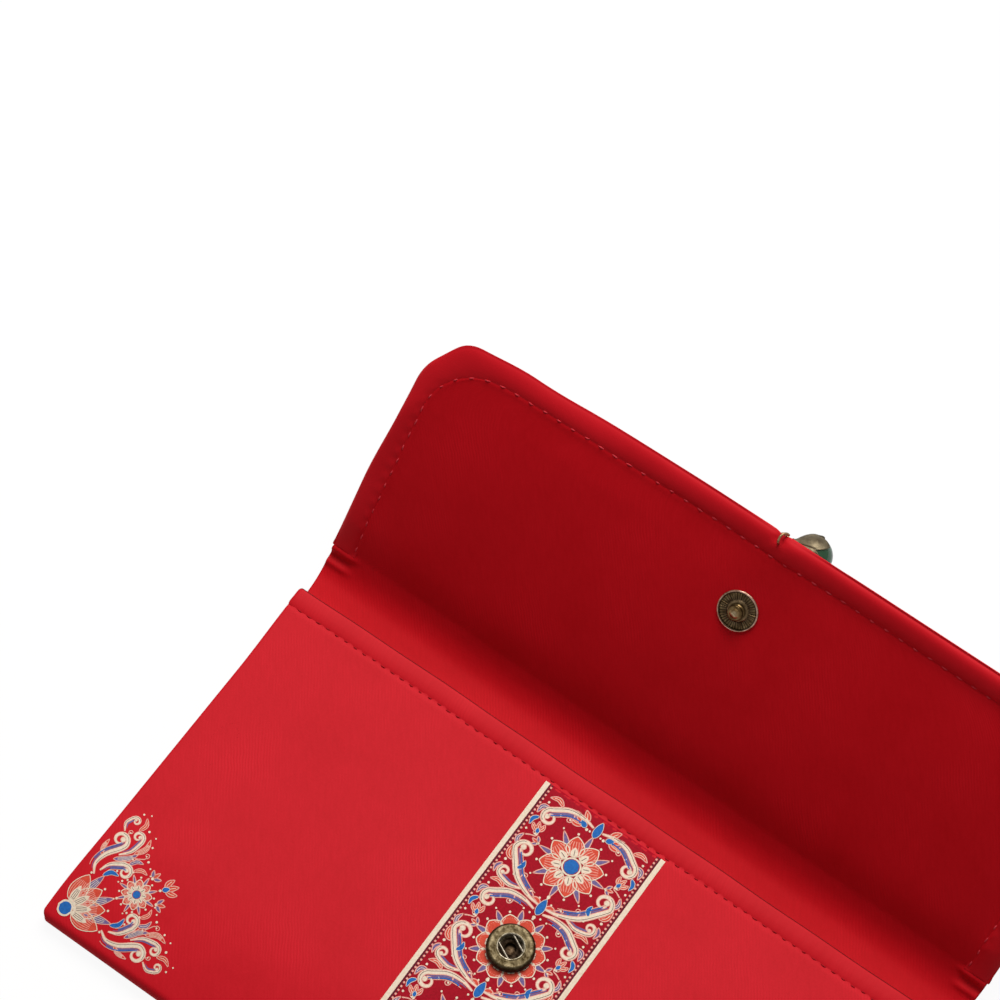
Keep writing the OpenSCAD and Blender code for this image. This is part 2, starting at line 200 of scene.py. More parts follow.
def thicken(piece, mm):
    """Gives a cloth its thickness, behind the face that shows."""
    alone(piece)
    wall = piece.modifiers.new("thickness", "SOLIDIFY")
    wall.thickness = mm * MM
    wall.offset = -1
    bpy.ops.object.modifier_apply(modifier=wall.name)
    bpy.ops.object.shade_smooth()


def pierce(piece, x, y, r):
    """Opens a grid of cloth for a rivet at x, y of its cut."""
    mesh = piece.data
    alone(piece)
    bpy.ops.object.mode_set(mode="EDIT")
    bpy.ops.mesh.select_mode(type="FACE")
    bpy.ops.mesh.select_all(action="DESELECT")
    bpy.ops.object.mode_set(mode="OBJECT")
    uv = mesh.uv_layers.active.data
    for face in mesh.polygons:
        middle = sum((uv[i].uv for i in face.loop_indices), Vector((0, 0))) / len(face.loop_indices)
        face.select = math.hypot(middle[0] / MM - x, middle[1] / MM - y) < r
    bpy.ops.object.mode_set(mode="EDIT")
    bpy.ops.mesh.delete(type="FACE")
    bpy.ops.object.mode_set(mode="OBJECT")


def close_roll(piece):
    """Joins the two ends of a rolled cloth, and turns its faces outwards."""
    alone(piece)
    bpy.ops.object.mode_set(mode="EDIT")
    bpy.ops.mesh.select_all(action="SELECT")
    bpy.ops.mesh.remove_doubles(threshold=0.01 * MM)
    bpy.ops.mesh.normals_make_consistent(inside=False)
    bpy.ops.object.mode_set(mode="OBJECT")
    bpy.ops.object.shade_smooth()


def stand_in(piece, finish, nodes=(), body=None):
    """Gives a piece its finish and body, and the nodes that it stands for."""
    piece.data.materials.clear()
    piece.data.materials.append(finish)
    if nodes:
        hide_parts(*nodes)
    if body:
        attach(piece, body)


def joined(name, pieces):
    """Several meshes as one piece."""
    alone(pieces[0])
    for piece in pieces[1:]:
        piece.select_set(True)
    bpy.ops.object.join()
    pieces[0].name = name
    pieces[0].data.name = name
    return pieces[0]


# Finishes

def linear(code):
    """An sRGB hex value as linear colour."""
    parts = [int(code[i:i + 2], 16) / 255 for i in (1, 3, 5)]
    return [p / 12.92 if p <= 0.04045 else ((p + 0.055) / 1.055) ** 2.4 for p in parts] + [1]


def node(tree, kind, links=None, **settings):
    """Adds a node. links gives its inputs, each a value or another node's output."""
    made = tree.nodes.new(kind)
    for key, value in settings.items():
        setattr(made, key, value)
    for key, value in (links or {}).items():
        if isinstance(value, bpy.types.NodeSocket):
            tree.links.new(value, made.inputs[key])
        else:
            made.inputs[key].default_value = value
    return made


def new_finish(name):
    """An empty material and its node tree."""
    finish = bpy.data.materials.new(name)
    finish.use_nodes = True
    finish.node_tree.nodes.clear()
    return finish, finish.node_tree


def surface(tree, looks):
    """Ends a finish with its main shader. looks gives the shader's inputs."""
    shader = node(tree, "ShaderNodeBsdfPrincipled", looks)
    node(tree, "ShaderNodeOutputMaterial", {"Surface": shader.outputs[0]})


# Sizes of the patterns. The real threads are finer than the picture can show.
RIB_STEP = 0.7
RIB_SLANT = math.radians(-35)
SLUB = 0.9
FUZZ = 0.6
DYE_PATCH = 18
INK_SPECK = 0.5
GLASS_STREAK = 4
CARD_FIBRE = 1.5
RINGS_R = 8
SHADOW_LINE_TURN = (2.35, 2.8)  # a painted shadow line along the hem's far edge, as an angle round its section


def cotton(name, low, high, rib, relief, gloss=0.1, shadow_line=None):
    """Dyed cotton twill: matt, with a faint slant of ribs that shows in patches and a slightly uneven dye.
    rib is the weave's share in the colour, and shadow_line gives the places along the cut between which a
    painted shadow line darkens the cloth."""
    finish, tree = new_finish(name)
    cut = node(tree, "ShaderNodeTexCoord").outputs["UV"]
    slant = node(tree, "ShaderNodeMapping", {"Vector": cut, "Rotation": (0, 0, RIB_SLANT)})
    ribs = node(tree, "ShaderNodeTexWave", {
        "Vector": slant.outputs[0], "Scale": math.pi / 10 / (RIB_STEP * MM), "Distortion": 5.0,
        "Detail": 2.0, "Detail Scale": 0.35, "Detail Roughness": 0.6}, bands_direction="X")
    stretch = node(tree, "ShaderNodeMapping", {"Vector": slant.outputs[0], "Scale": (1, 0.22, 1)})
    slubs = node(tree, "ShaderNodeTexNoise", {
        "Vector": stretch.outputs[0], "Scale": 1 / (SLUB * MM), "Detail": 2.0})
    fuzz = node(tree, "ShaderNodeTexNoise", {"Vector": cut, "Scale": 1 / (FUZZ * MM), "Detail": 3.0})
    dye = node(tree, "ShaderNodeTexNoise", {"Vector": cut, "Scale": 1 / (DYE_PATCH * MM), "Detail": 4.0})
    patch = node(tree, "ShaderNodeMapRange", {
        "Value": dye.outputs["Fac"], "From Min": 0.46, "From Max": 0.72})
    weave = node(tree, "ShaderNodeMix", {
        0: patch.outputs[0], 2: fuzz.outputs["Fac"], 3: ribs.outputs["Fac"]}, data_type="FLOAT")
    grain = node(tree, "ShaderNodeMix", {
        0: 0.5, 2: weave.outputs[0], 3: slubs.outputs["Fac"]}, data_type="FLOAT")
    tone = node(tree, "ShaderNodeMix", {
        0: rib, 2: dye.outputs["Fac"], 3: grain.outputs[0]}, data_type="FLOAT")
    spread = node(tree, "ShaderNodeMapRange", {
        "Value": tone.outputs[0], "From Min": 0.25, "From Max": 0.75})
    colour = node(tree, "ShaderNodeMix", {
        0: spread.outputs[0], 6: linear(low), 7: linear(high)}, data_type="RGBA")
    # Painted shadow: the cloth turns dark red between the two places along its cut, on the hem's far edge.
    if shadow_line:
        along = node(tree, "ShaderNodeSeparateXYZ", {0: cut})
        first, last = [p * MM for p in shadow_line]
        line = node(tree, "ShaderNodeMath", {
            0: along.outputs[1], 1: (first + last) / 2, 2: (last - first) / 2}, operation="COMPARE")
        colour = node(tree, "ShaderNodeMix", {
            0: line.outputs[0], 6: colour.outputs[2], 7: linear("#6a0409")}, data_type="RGBA")
    bump = node(tree, "ShaderNodeBump", {
        "Height": grain.outputs[0], "Strength": relief, "Distance": 0.12 * MM})
    surface(tree, {"Base Color": colour.outputs[2], "Normal": bump.outputs[0], "Roughness": 0.6,
                   "Specular IOR Level": gloss})
    return finish


def ink(name, code, deep):
    """Printing ink on cloth: matt, a little thin where the weave is high, which shows as small specks."""
    finish, tree = new_finish(name)
    place = node(tree, "ShaderNodeTexCoord").outputs["Object"]
    specks = node(tree, "ShaderNodeTexNoise", {
        "Vector": place, "Scale": 1 / (INK_SPECK * MM), "Detail": 2.0})
    cover = node(tree, "ShaderNodeMapRange", {
        "Value": specks.outputs["Fac"], "From Min": 0.3, "From Max": 0.75})
    colour = node(tree, "ShaderNodeMix", {
        0: cover.outputs[0], 6: linear(code), 7: linear(deep)}, data_type="RGBA")
    bump = node(tree, "ShaderNodeBump", {
        "Height": specks.outputs["Fac"], "Strength": 0.25, "Distance": 0.05 * MM})
    surface(tree, {"Base Color": colour.outputs[2], "Normal": bump.outputs[0], "Roughness": 0.65,
                   "Specular IOR Level": 0.09})
    return finish


def aged_metal(name, bright, dark, rough, spot, share):
    """Plated metal that was browned and rubbed back, so it is mottled and its gloss is uneven.
    spot is the size of a cloud in mm, and share the part that stays brown."""
    finish, tree = new_finish(name)
    place = node(tree, "ShaderNodeTexCoord").outputs["Object"]
    clouds = node(tree, "ShaderNodeTexNoise", {
        "Vector": place, "Scale": 1 / (spot * MM), "Detail": 5.0, "Roughness": 0.65})
    worn = node(tree, "ShaderNodeMapRange", {
        "Value": clouds.outputs["Fac"], "From Min": share - 0.16, "From Max": share + 0.16})
    colour = node(tree, "ShaderNodeMix", {
        0: worn.outputs[0], 6: linear(dark), 7: linear(bright)}, data_type="RGBA")
    gloss = node(tree, "ShaderNodeMapRange", {
        "Value": worn.outputs[0], "To Min": rough + 0.15, "To Max": rough})
    bump = node(tree, "ShaderNodeBump", {
        "Height": clouds.outputs["Fac"], "Strength": 0.12, "Distance": 0.06 * MM})
    surface(tree, {"Base Color": colour.outputs[2], "Roughness": gloss.outputs[0],
                   "Normal": bump.outputs[0], "Metallic": 1})
    return finish


def paint_ring_light(finish, centre, tilt, rings, ribs=None):
    """Paints light and shade on a snap's finish by the distance from its axis: rings lists a radius in mm and
    the painted colour there. ribs gives a count, a middle radius and half a width in mm for rays with painted
    shade in the gaps between them."""
    tree = finish.node_tree
    shader = next(n for n in tree.nodes if n.type == "BSDF_PRINCIPLED")
    mottle = shader.inputs["Base Color"].links[0].from_socket
    place = node(tree, "ShaderNodeTexCoord").outputs["Object"]
    moved = node(tree, "ShaderNodeVectorMath", {
        0: place, 1: [c * MM for c in centre]}, operation="SUBTRACT")
    level = node(tree, "ShaderNodeMapping", {"Vector": moved.outputs[0], "Rotation": (-tilt, 0, 0)})
    flat = node(tree, "ShaderNodeVectorMath", {0: level.outputs[0], 1: (1, 1, 0)}, operation="MULTIPLY")
    far = node(tree, "ShaderNodeVectorMath", {0: flat.outputs[0]}, operation="LENGTH")
    reach = node(tree, "ShaderNodeMath", {0: far.outputs["Value"], 1: RINGS_R * MM}, operation="DIVIDE")
    ramp = node(tree, "ShaderNodeValToRGB", {0: reach.outputs[0]})
    stops = ramp.color_ramp.elements
    for i, (radius, code) in enumerate(rings):
        stop = stops[i] if i < 2 else stops.new(1)
        stop.position = radius / RINGS_R
        stop.color = linear(code)
    both = node(tree, "ShaderNodeMix", {
        0: 1.0, 6: ramp.outputs[0], 7: mottle}, data_type="RGBA", blend_type="MULTIPLY")
    # Painted shade in the gaps between the ribs' rays.
    if ribs:
        count, middle, half = ribs
        axes = node(tree, "ShaderNodeSeparateXYZ", {0: flat.outputs[0]})
        angle = node(tree, "ShaderNodeMath", {0: axes.outputs[1], 1: axes.outputs[0]}, operation="ARCTAN2")
        turns = node(tree, "ShaderNodeMath", {0: angle.outputs[0], 1: count}, operation="MULTIPLY")
        wave = node(tree, "ShaderNodeMath", {0: turns.outputs[0]}, operation="SINE")
        near = node(tree, "ShaderNodeMath", {
            0: far.outputs["Value"], 1: middle * MM, 2: half * MM}, operation="COMPARE")
        gap = node(tree, "ShaderNodeMapRange", {
            "Value": wave.outputs[0], "From Min": -0.4, "From Max": 0.5, "To Max": 0.66})
        depth = node(tree, "ShaderNodeMath", {0: gap.outputs[0], 1: near.outputs[0]}, operation="MULTIPLY")
        both = node(tree, "ShaderNodeMix", {
            0: depth.outputs[0], 6: both.outputs[2], 7: linear("#120d08")}, data_type="RGBA")
    tree.links.new(both.outputs[2], shader.inputs["Base Color"])
    return finish


def green_glass():
    """Pressed green glass: clear and glossy, with faint streaks from the melt."""
    finish, tree = new_finish("pressed_green_glass")
    place = node(tree, "ShaderNodeTexCoord").outputs["Object"]
    streaks = node(tree, "ShaderNodeTexNoise", {
        "Vector": place, "Scale": 1 / (GLASS_STREAK * MM), "Detail": 2.0, "Distortion": 1.5})
    colour = node(tree, "ShaderNodeMix", {
        0: streaks.outputs["Fac"], 6: linear("#12331d"), 7: linear("#336a45")}, data_type="RGBA")
    surface(tree, {"Base Color": colour.outputs[2], "Roughness": 0.06, "IOR": 1.52,
                   "Transmission Weight": 0.55, "Specular IOR Level": 0.3})
    return finish


def card():
    """Grey pulp board with a fibrous face."""
    finish, tree = new_finish("pulp_board")
    place = node(tree, "ShaderNodeTexCoord").outputs["Object"]
    fibres = node(tree, "ShaderNodeTexNoise", {
        "Vector": place, "Scale": 1 / (CARD_FIBRE * MM), "Detail": 6.0})
    colour = node(tree, "ShaderNodeMix", {
        0: fibres.outputs["Fac"], 6: linear("#b9ae97"), 7: linear("#d8cfba")}, data_type="RGBA")
    bump = node(tree, "ShaderNodeBump", {
        "Height": fibres.outputs["Fac"], "Strength": 0.3, "Distance": 0.1 * MM})
    surface(tree, {"Base Color": colour.outputs[2], "Normal": bump.outputs[0], "Roughness": 0.9})
    return finish


red_twill = cotton("red_cotton_twill", "#bf0c19", "#d51726", rib=0.5, relief=0.3, gloss=0.12)
red_inner = cotton("red_cotton_inner_face", "#bd0813", "#d3121f", rib=0.5, relief=0.3, gloss=0.08)
red_lawn = cotton("red_cotton_lawn", "#c20b18", "#d41522", rib=0.3, relief=0.16, gloss=0.12)
# The hem's cloth carries a painted shadow line along its far edge.
red_hem = cotton("red_cotton_hem", "#c00c19", "#d21623", rib=0.3, relief=0.16, gloss=0.13,
                 shadow_line=SHADOW_LINE_TURN)
red_lining = cotton("red_cotton_lining", "#ae0711", "#c40e19", rib=0.4, relief=0.3)
# Polyester thread is as matt as the cloth, and its twist shows as the slant.
# One red thread in two copies: the lighter one is painted light for the flap's stitches, which stand up into
# the light, and the darker one is painted shade for the mouth's stitches, which sit in their valley.
lit_thread = cotton("red_polyester_thread_lit", "#c6222e", "#dd4a54", rib=0.7, relief=0.5)
shaded_thread = cotton("red_polyester_thread_shaded", "#980d16", "#b31822", rib=0.7, relief=0.5)
# Painted light on the snaps: highlights on their raised rings and shade in their bores and hollows, painted
# as rings round each snap's axis over the metal's own mottled tarnish.
antique_brass = paint_ring_light(
    aged_metal("antique_brass", "#ffffff", "#7a6f55", rough=0.4, spot=0.9, share=0.5),
    (0, SNAP_Y, POUCH_T), 0,
    # Painted shade in the bore, and a painted highlight on the bright rim round it at 3.05 mm.
    ((0, "#66533f"), (1.0, "#463729"), (1.4, "#2c2219"), (2.5, "#2a2119"), (2.8, "#756850"),
     (3.05, "#efe6cf"), (3.3, "#796c50"), (3.9, "#594e38"), (4.7, "#82755a"), (5.3, "#574b36"),
     (5.8, "#2b2317")))
stud_at = (0, ROOT_Y + STUD_D * math.cos(FLAP_TILT), ROOT_Z + STUD_D * math.sin(FLAP_TILT))
stud_bronze = paint_ring_light(
    aged_metal("antique_bronze_painted_light", "#ffffff", "#8d7c62", rough=0.26, spot=1.4, share=0.48),
    stud_at, FLAP_TILT,
    # A painted highlight on the head in the middle, and a painted reflection of the red cloth on the rim at
    # 4.75 to 5 mm.
    ((0, "#f2e2c0"), (0.8, "#a58c66"), (1.4, "#8f7650"), (1.9, "#46361f"), (2.3, "#937d5e"),
     (2.7, "#6a5843"), (4.3, "#8f7a58"), (4.6, "#3c2c20"), (4.75, "#e6c2ae"), (5.0, "#c39a86")),
    ribs=(40, 3.6, 0.85))
cap_finish = aged_metal("browned_bronze", "#7d6a4e", "#43372a", rough=0.38, spot=0.7, share=0.46)
cap_bronze = aged_metal("rubbed_bronze", "#7c7059", "#4f4536", rough=0.44, spot=3.0, share=0.5)
spring_steel = aged_metal("spring_steel", "#9a9182", "#5f5748", rough=0.34, spot=0.8, share=0.4)
gold_wire = aged_metal("browned_gilt_wire", "#c9a47c", "#5a4129", rough=0.34, spot=0.7, share=0.5)
pulp_board = card()
bead_glass = green_glass()


# Front of the pouch

def front_line(s):
    """y, z and the outward direction at s mm along the front's cloth, from under the fold to the mouth."""
    turn = s / FOLD_R
    lean = SLOPE_A - (s - FOLD_S) / SLOPE_R
    fold = s < FOLD_S
    flat = s >= SLOPE_S
    ny = np.where(fold, -np.sin(turn), np.where(flat, 0, -np.sin(lean)))
    nz = np.where(fold, -np.cos(turn), np.where(flat, 1, np.cos(lean)))
    y = np.where(fold, FOLD_R - POUCH_H / 2 + FOLD_R * ny,
                 np.where(flat, SLOPE_Y + s - SLOPE_S, SLOPE_Y + SLOPE_R * ny))
    z = np.where(fold, FOLD_R + FOLD_R * nz,
                 np.where(flat, POUCH_T, POUCH_T - SLOPE_R + SLOPE_R * nz))
    return y, z, ny, nz


def front_swell(x, y):
    """How far the filled front stands out from its flat form."""
    r = np.hypot(x, y - SNAP_Y)
    crown = FRONT_CROWN * (1 - (x / HALF_W) ** 2) * rise(y, -48, 5)
    ease = rise(y, -48, -38) * (1 - rise(np.abs(x), 78, 91))
    drift = 0.08 * np.sin(x / 13 + 0.6) * np.sin(y / 15 + x / 45) + 0.06 * np.sin(x / 29 - y / 11 + 2)
    return (crown + drift * ease) * (1 - bell(r, 0, SNAP_FLAT))


def mouth_beat(x):
    """1 on each stitch of the mouth's seam and -1 between two of them."""
    return np.cos(2 * np.pi * (x - MOUTH_FIRST) / MOUTH_STEP)


def seam_pull(x, y):
    """Depth of the valley that the mouth's stitches pull into the front."""
    return SEAM_DEPTH * bell(y, SEAM_Y, SEAM_WIDTH) * (0.7 + 0.3 * mouth_beat(x))


def edge_turn(c, half, r):
    """x, and depth under the face, of cloth c mm from the middle that turns in round an edge."""
    over = np.abs(c) - (half - r)
    turn = np.clip(over / r, 0, math.pi / 2)
    x = np.where(over > 0, half - r + r * np.sin(turn), np.abs(c))
    deep = np.where(over > 0, r * (1 - np.cos(turn)) + np.clip(over - r * math.pi / 2, 0, None), 0)
    return np.sign(c) * x, deep


def half_width(y):
    """Half the pouch's width, with its round bottom corners."""
    low = np.clip(CORNER_R - POUCH_H / 2 - y, 0, CORNER_R)
    waist = WAIST * rise(y, -45, -22) * (1 - rise(y, 24, 48))
    return HALF_W - CORNER_R + np.sqrt(CORNER_R**2 - low**2) - waist


def edge_steps(half, lip, step):
    """Places across a cloth: even in the middle, close where it turns in at the sides."""
    even, close = half - 6, half - 1
    side = np.concatenate([np.linspace(even, close, 6)[:-1], np.linspace(close, half + lip, 14)])
    return np.concatenate([-side[::-1], np.linspace(-even, even, int(2 * even / step))[1:-1], side])


def place_front(c, s):
    """Front and bottom fold, c mm from the middle and s mm along the cloth."""
    y, z, ny, nz = front_line(s)
    half = half_width(y)
    x, deep = edge_turn(c * half / HALF_W, half, EDGE_R)
    deep = deep * (1 + 0.5 * (s < FOLD_S))
    out = front_swell(x, y) - seam_pull(x, y) - deep
    return np.column_stack([x, y + ny * out, z + nz * out])


def front_at(x, y, lift):
    """Place on the front's cloth above the point x, y of its plan."""
    lean = np.arcsin(np.clip((SLOPE_Y - y) / SLOPE_R, 0, 1))
    base_z = np.where(y < SLOPE_Y, POUCH_T - SLOPE_R + SLOPE_R * np.cos(lean), POUCH_T)
    out = front_swell(x, y) - seam_pull(x, y) + lift
    return np.column_stack([x, y - np.sin(lean) * out, base_z + np.cos(lean) * out])


front_steps = np.concatenate([
    np.linspace(0, FOLD_S, 19)[:-1], np.linspace(FOLD_S, SLOPE_S, 33)[:-1],
    np.linspace(SLOPE_S, FINE_S, 61)[:-1], np.linspace(FINE_S, FRONT_S, 33)])
front_cloth = lay_cloth("front_cloth", edge_steps(HALF_W, EDGE_LIP, 1.0), front_steps, place_front)
pierce(front_cloth, 0, SLOPE_S + SNAP_Y - SLOPE_Y, RIVET_HOLE)
thicken(front_cloth, CLOTH_T)
stand_in(front_cloth, red_twill, ["front_cover", "bottom_fold"], "pouch")


def place_front_lining(c, s):
    """Pocket's side of the front, with slack between its seams."""
    y, z, ny, nz = front_line(s)
    out = -WALL_T + 0.06 * np.sin(c / 9) * np.sin(s / 8) - 0.05
    return np.column_stack([c, y + ny * out, z + nz * out])


FRONT_LINING_HALF = 91.3
front_lining = lay_cloth(
    "front_lining_cloth", np.linspace(FRONT_LINING_HALF, -FRONT_LINING_HALF, 92),
    np.linspace(FOLD_S + 0.4, FRONT_S, 60), place_front_lining)
thicken(front_lining, -0.3)
stand_in(front_lining, red_lining, ["front_lining"], "pouch")


# Rolled hem on the mouth

HEM_HALF = 91.2  # up to where its ends begin to round
HEM_REACH = 2.72
HEM_H = 0.95
HEM_Z = 6.82


def place_hem(x, turn):
    """Hem at x, round its section by turn."""
    inner = np.clip(np.abs(x) - HEM_HALF, 0, 1)
    close = np.sqrt(np.clip(1 - inner**2, 0, 1))
    # Its section is an oval that is squarer towards the mouth.
    k = np.where(np.cos(turn) > 0, 0.75, 0.4)
    run = np.sign(np.cos(turn)) * np.abs(np.cos(turn)) ** k
    up = np.sign(np.sin(turn)) * np.abs(np.sin(turn)) ** k
    drift = 0.06 * np.sin(x / 7.3 + 1) + 0.05 * np.sin(x / 17 + 2.2)
    height = (HEM_H + drift * 0.6 + 0.03 * mouth_beat(x) * (run > 0)) * close
    length = HEM_REACH * (0.55 + 0.45 * close)
    y = MOUTH_Y - HEM_REACH - length * run + 0.09 * np.sin(x / 11) + 0.05 * np.sin(x / 4.1 + 1)
    # The hem thins towards its stitches and is flat at its edge.
    z = HEM_Z + height * up * (1 - 0.3 * np.clip(run, 0, 1)) + 0.95 * front_swell(x, y)
    return np.column_stack([x, y, z])


hem_end = np.linspace(HEM_HALF, HEM_HALF + 1, 9)
hem_steps = np.concatenate([-hem_end[::-1], np.linspace(0.2 - HEM_HALF, HEM_HALF - 0.2, 300), hem_end])
mouth_hem = lay_cloth("mouth_hem", hem_steps, np.linspace(0, 2 * np.pi, 41), place_hem)
close_roll(mouth_hem)
stand_in(mouth_hem, red_hem, ["mouth_binding"], "pouch")


# Back, its lining and the sides

def place_back(c, y):
    """Back, whose sides turn up."""
    half = half_width(y)
    x, deep = edge_turn(c * half / HALF_W, half, EDGE_R)
    lift = 0.05 * (1 + np.sin(x / 12) * np.sin(y / 14)) * (1 - rise(np.abs(x), 80, 90))
    lift = lift * rise(y, -47, -40) * (1 - rise(y, 42, 50))
    return np.column_stack([x, y, deep + lift])


back_cloth = lay_cloth("back_cloth", edge_steps(HALF_W, EDGE_LIP, 2.0),
                       np.linspace(MOUTH_Y, FOLD_R - POUCH_H / 2, 66), place_back)
thicken(back_cloth, CLOTH_T)
stand_in(back_cloth, red_twill, ["back_cover"], "pouch")


def place_back_lining(x, y):
    """Pocket's side of the back."""
    return np.column_stack([x, y, WALL_T + 0.04 * (1 + np.sin(x / 8) * np.sin(y / 9))])


BACK_LINING_HALF = 91
back_lining = lay_cloth(
    "back_lining_cloth", np.linspace(-BACK_LINING_HALF, BACK_LINING_HALF, 92),
    np.linspace(2.6 - POUCH_H / 2, MOUTH_Y - 0.4, 60), place_back_lining)
thicken(back_lining, 0.34)
stand_in(back_lining, red_lining, ["back_lining"], "pouch")


GUSSET_X = 90.6
PLEAT = 3.4
POCKET_H = POUCH_T - 2 * WALL_T - 0.2


def add_gusset(name, side, node_name):
    """The pocket's side: a strip that is pleated inwards between back and front."""
    def place(y, k):
        low = WALL_T + 0.1
        tall = np.clip(front_at(np.full_like(y, 90.0), y, 0)[:, 2] - 2 * low, 0.3, None)
        pleat = PLEAT * (1 - np.abs(2 * k - 1) ** 1.6) * np.clip(tall / POCKET_H, 0.3, 1)
        ripple = 0.15 * np.sin(y / 6.5) * np.sin(np.pi * k)
        x = side * (GUSSET_X - pleat - ripple)
        return np.column_stack([x, y, low + tall * k])
    run = np.linspace(-46, 43, 60)
    piece = lay_cloth(name, run if side > 0 else run[::-1], np.linspace(0, 1, 17), place)
    thicken(piece, 0.36)
    stand_in(piece, red_lining, [node_name], "pouch")


add_gusset("left_gusset_cloth", -1, "left_gusset")
add_gusset("right_gusset_cloth", 1, "right_gusset")


# Flap

def on_flap(x, d, n):
    """Flap place, from its own x, distance from the spine and height over its inner face."""
    c, s = math.cos(FLAP_TILT), math.sin(FLAP_TILT)
    # The flap's left corner hangs a little lower than its right one.
    d = d - (SIDE_FALL * rise(-x, 0, 90) + CORNER_FALL * rise(-x, 68, 86)) * rise(d, 8, 56)
    return np.column_stack([x, ROOT_Y + d * c - n * s, ROOT_Z + d * s + n * c])


def side_of_flap(d):
    """Half the flap's width."""
    return HALF_W + FLAP_FLARE * d / FLAP_L


def soft_corners(points, cut):
    """A line whose corners are cut back by cut mm and rounded."""
    p = [np.asarray(q, float) for q in points]
    line = [p[0]]
    for a, b, c in zip(p[:-2], p[1:-1], p[2:]):
        start = b + (a - b) / np.linalg.norm(a - b) * cut
        end = b + (c - b) / np.linalg.norm(c - b) * cut
        for t in np.linspace(0, 1, 9):
            line.append((1 - t) ** 2 * start + 2 * t * (1 - t) * b + t * t * end)
    return np.array(line + [p[-1]])


# Where the seam's straight sides end, and the middle of its corners
SIDE_D = FIELD_TOP - RIM_R
SEAM_C = (side_of_flap(SIDE_D) - RIM_SIDE - RIM_R, SIDE_D)


def seam_half(d):
    """Half the width of the flap's field inside its seam."""
    arc = SEAM_C[0] + np.sqrt(np.clip(RIM_R**2 - np.clip(d - SEAM_C[1], 0, RIM_R) ** 2, 0, None))
    return np.where(d < SEAM_C[1], side_of_flap(d) - RIM_SIDE, arc)


def field_half(d):
    """Half the width of the flap's faces, which end just under the rim."""
    return seam_half(np.clip(d, 0, FIELD_TOP)) + 0.7 * (1 - rise(d, FIELD_TOP - 1.3, FIELD_TOP + UNDER_RIM))


def to_seam(x, d, half):
    """Distance from a place on the flap's faces to their edge."""
    return np.minimum(half - np.abs(x), FIELD_TOP + 0.6 - d)


# Distance from the spine, and height of the flap's inner face there
bow_line = smooth_line([
    (0, -1.5), (2.5, -1.08), (5, -0.6), (8, -0.13), (12, 0.25), (18, 0.56), (25, 0.72), (32, 0.68),
    (40, 0.4), (46, 0.03), (52, -0.44), (58, -0.98), (60.5, -1.2)], 240)


def bow(x, d):
    """Height of the flap's inner face over a flat one: sunk at the spine, full in the middle, pushed down at
    the seam."""
    high = np.interp(d, bow_line[:, 0], bow_line[:, 1])
    high = np.where(high > 0, high * (1 - 0.5 * rise(np.abs(x), 70, 92)), high)
    high = high * (1 - bell(np.hypot(x, d - STUD_D), 0, 8))
    return high + LINK_LIFT * bell(x, 1.5, 9) * rise(d, 50, 59)


# The rim's outer line and its seam line, from the left end of the spine round to the right end.
SIDE_STEPS, CORNER_STEPS, TOP_STEPS = 64, 32, 100
TOP_X = 79  # free edge's straight part
SIDE_BULGE = 0.95
RIM_BEND = 1.3  # by which the rim bends away at the left
arc_a = np.radians(np.linspace(0, 90, 40))
seam_corner = np.column_stack([SEAM_C[0] + RIM_R * np.cos(arc_a), SEAM_C[1] + RIM_R * np.sin(arc_a)])
outer_corner = soft_corners([
    (side_of_flap(SIDE_D), SIDE_D), (side_of_flap(FLAP_L - CUT_SIDE), FLAP_L - CUT_SIDE),
    (side_of_flap(FLAP_L) - CUT_TOP, FLAP_L), (TOP_X, FLAP_L)], 4)
side_d = np.linspace(0, SIDE_D, SIDE_STEPS + 1)
side_line = np.column_stack([side_of_flap(side_d) + SIDE_BULGE * (1 - rise(side_d, 20, 45)), side_d])


def rim_line(side, corner, top):
    """A line round the flap from the left to the right end of the spine, from its right half."""
    half = np.vstack([even_line(side, SIDE_STEPS)[:-1], even_line(corner, CORNER_STEPS)[:-1],
                      even_line(top, TOP_STEPS)])
    return np.vstack([half * (-1, 1), half[-2::-1]])


seam_line = rim_line([(side_of_flap(0) - RIM_SIDE, 0), (side_of_flap(SIDE_D) - RIM_SIDE, SIDE_D)],
                     seam_corner, [(SEAM_C[0], FIELD_TOP), (0, FIELD_TOP)])
outer_line = rim_line(side_line, outer_corner, [(TOP_X, FLAP_L), (0, FLAP_L)])
seam_run = run_along(seam_line)

# Cross-section of the rolled rim: share of the way from the seam to the edge, and height.
rim_section = smooth_line([
    (-0.1, -0.5), (0, -0.06), (0.1, 0.4), (0.28, 0.76), (0.5, 0.9), (0.7, 0.8), (0.85, 0.4), (0.95, -0.3),
    (1, -1.1), (0.95, -1.85), (0.85, -2.4), (0.7, -2.75), (0.5, -2.8), (0.28, -2.65), (0.1, -2.4),
    (0, -2.16), (-0.1, -1.8)], 56)


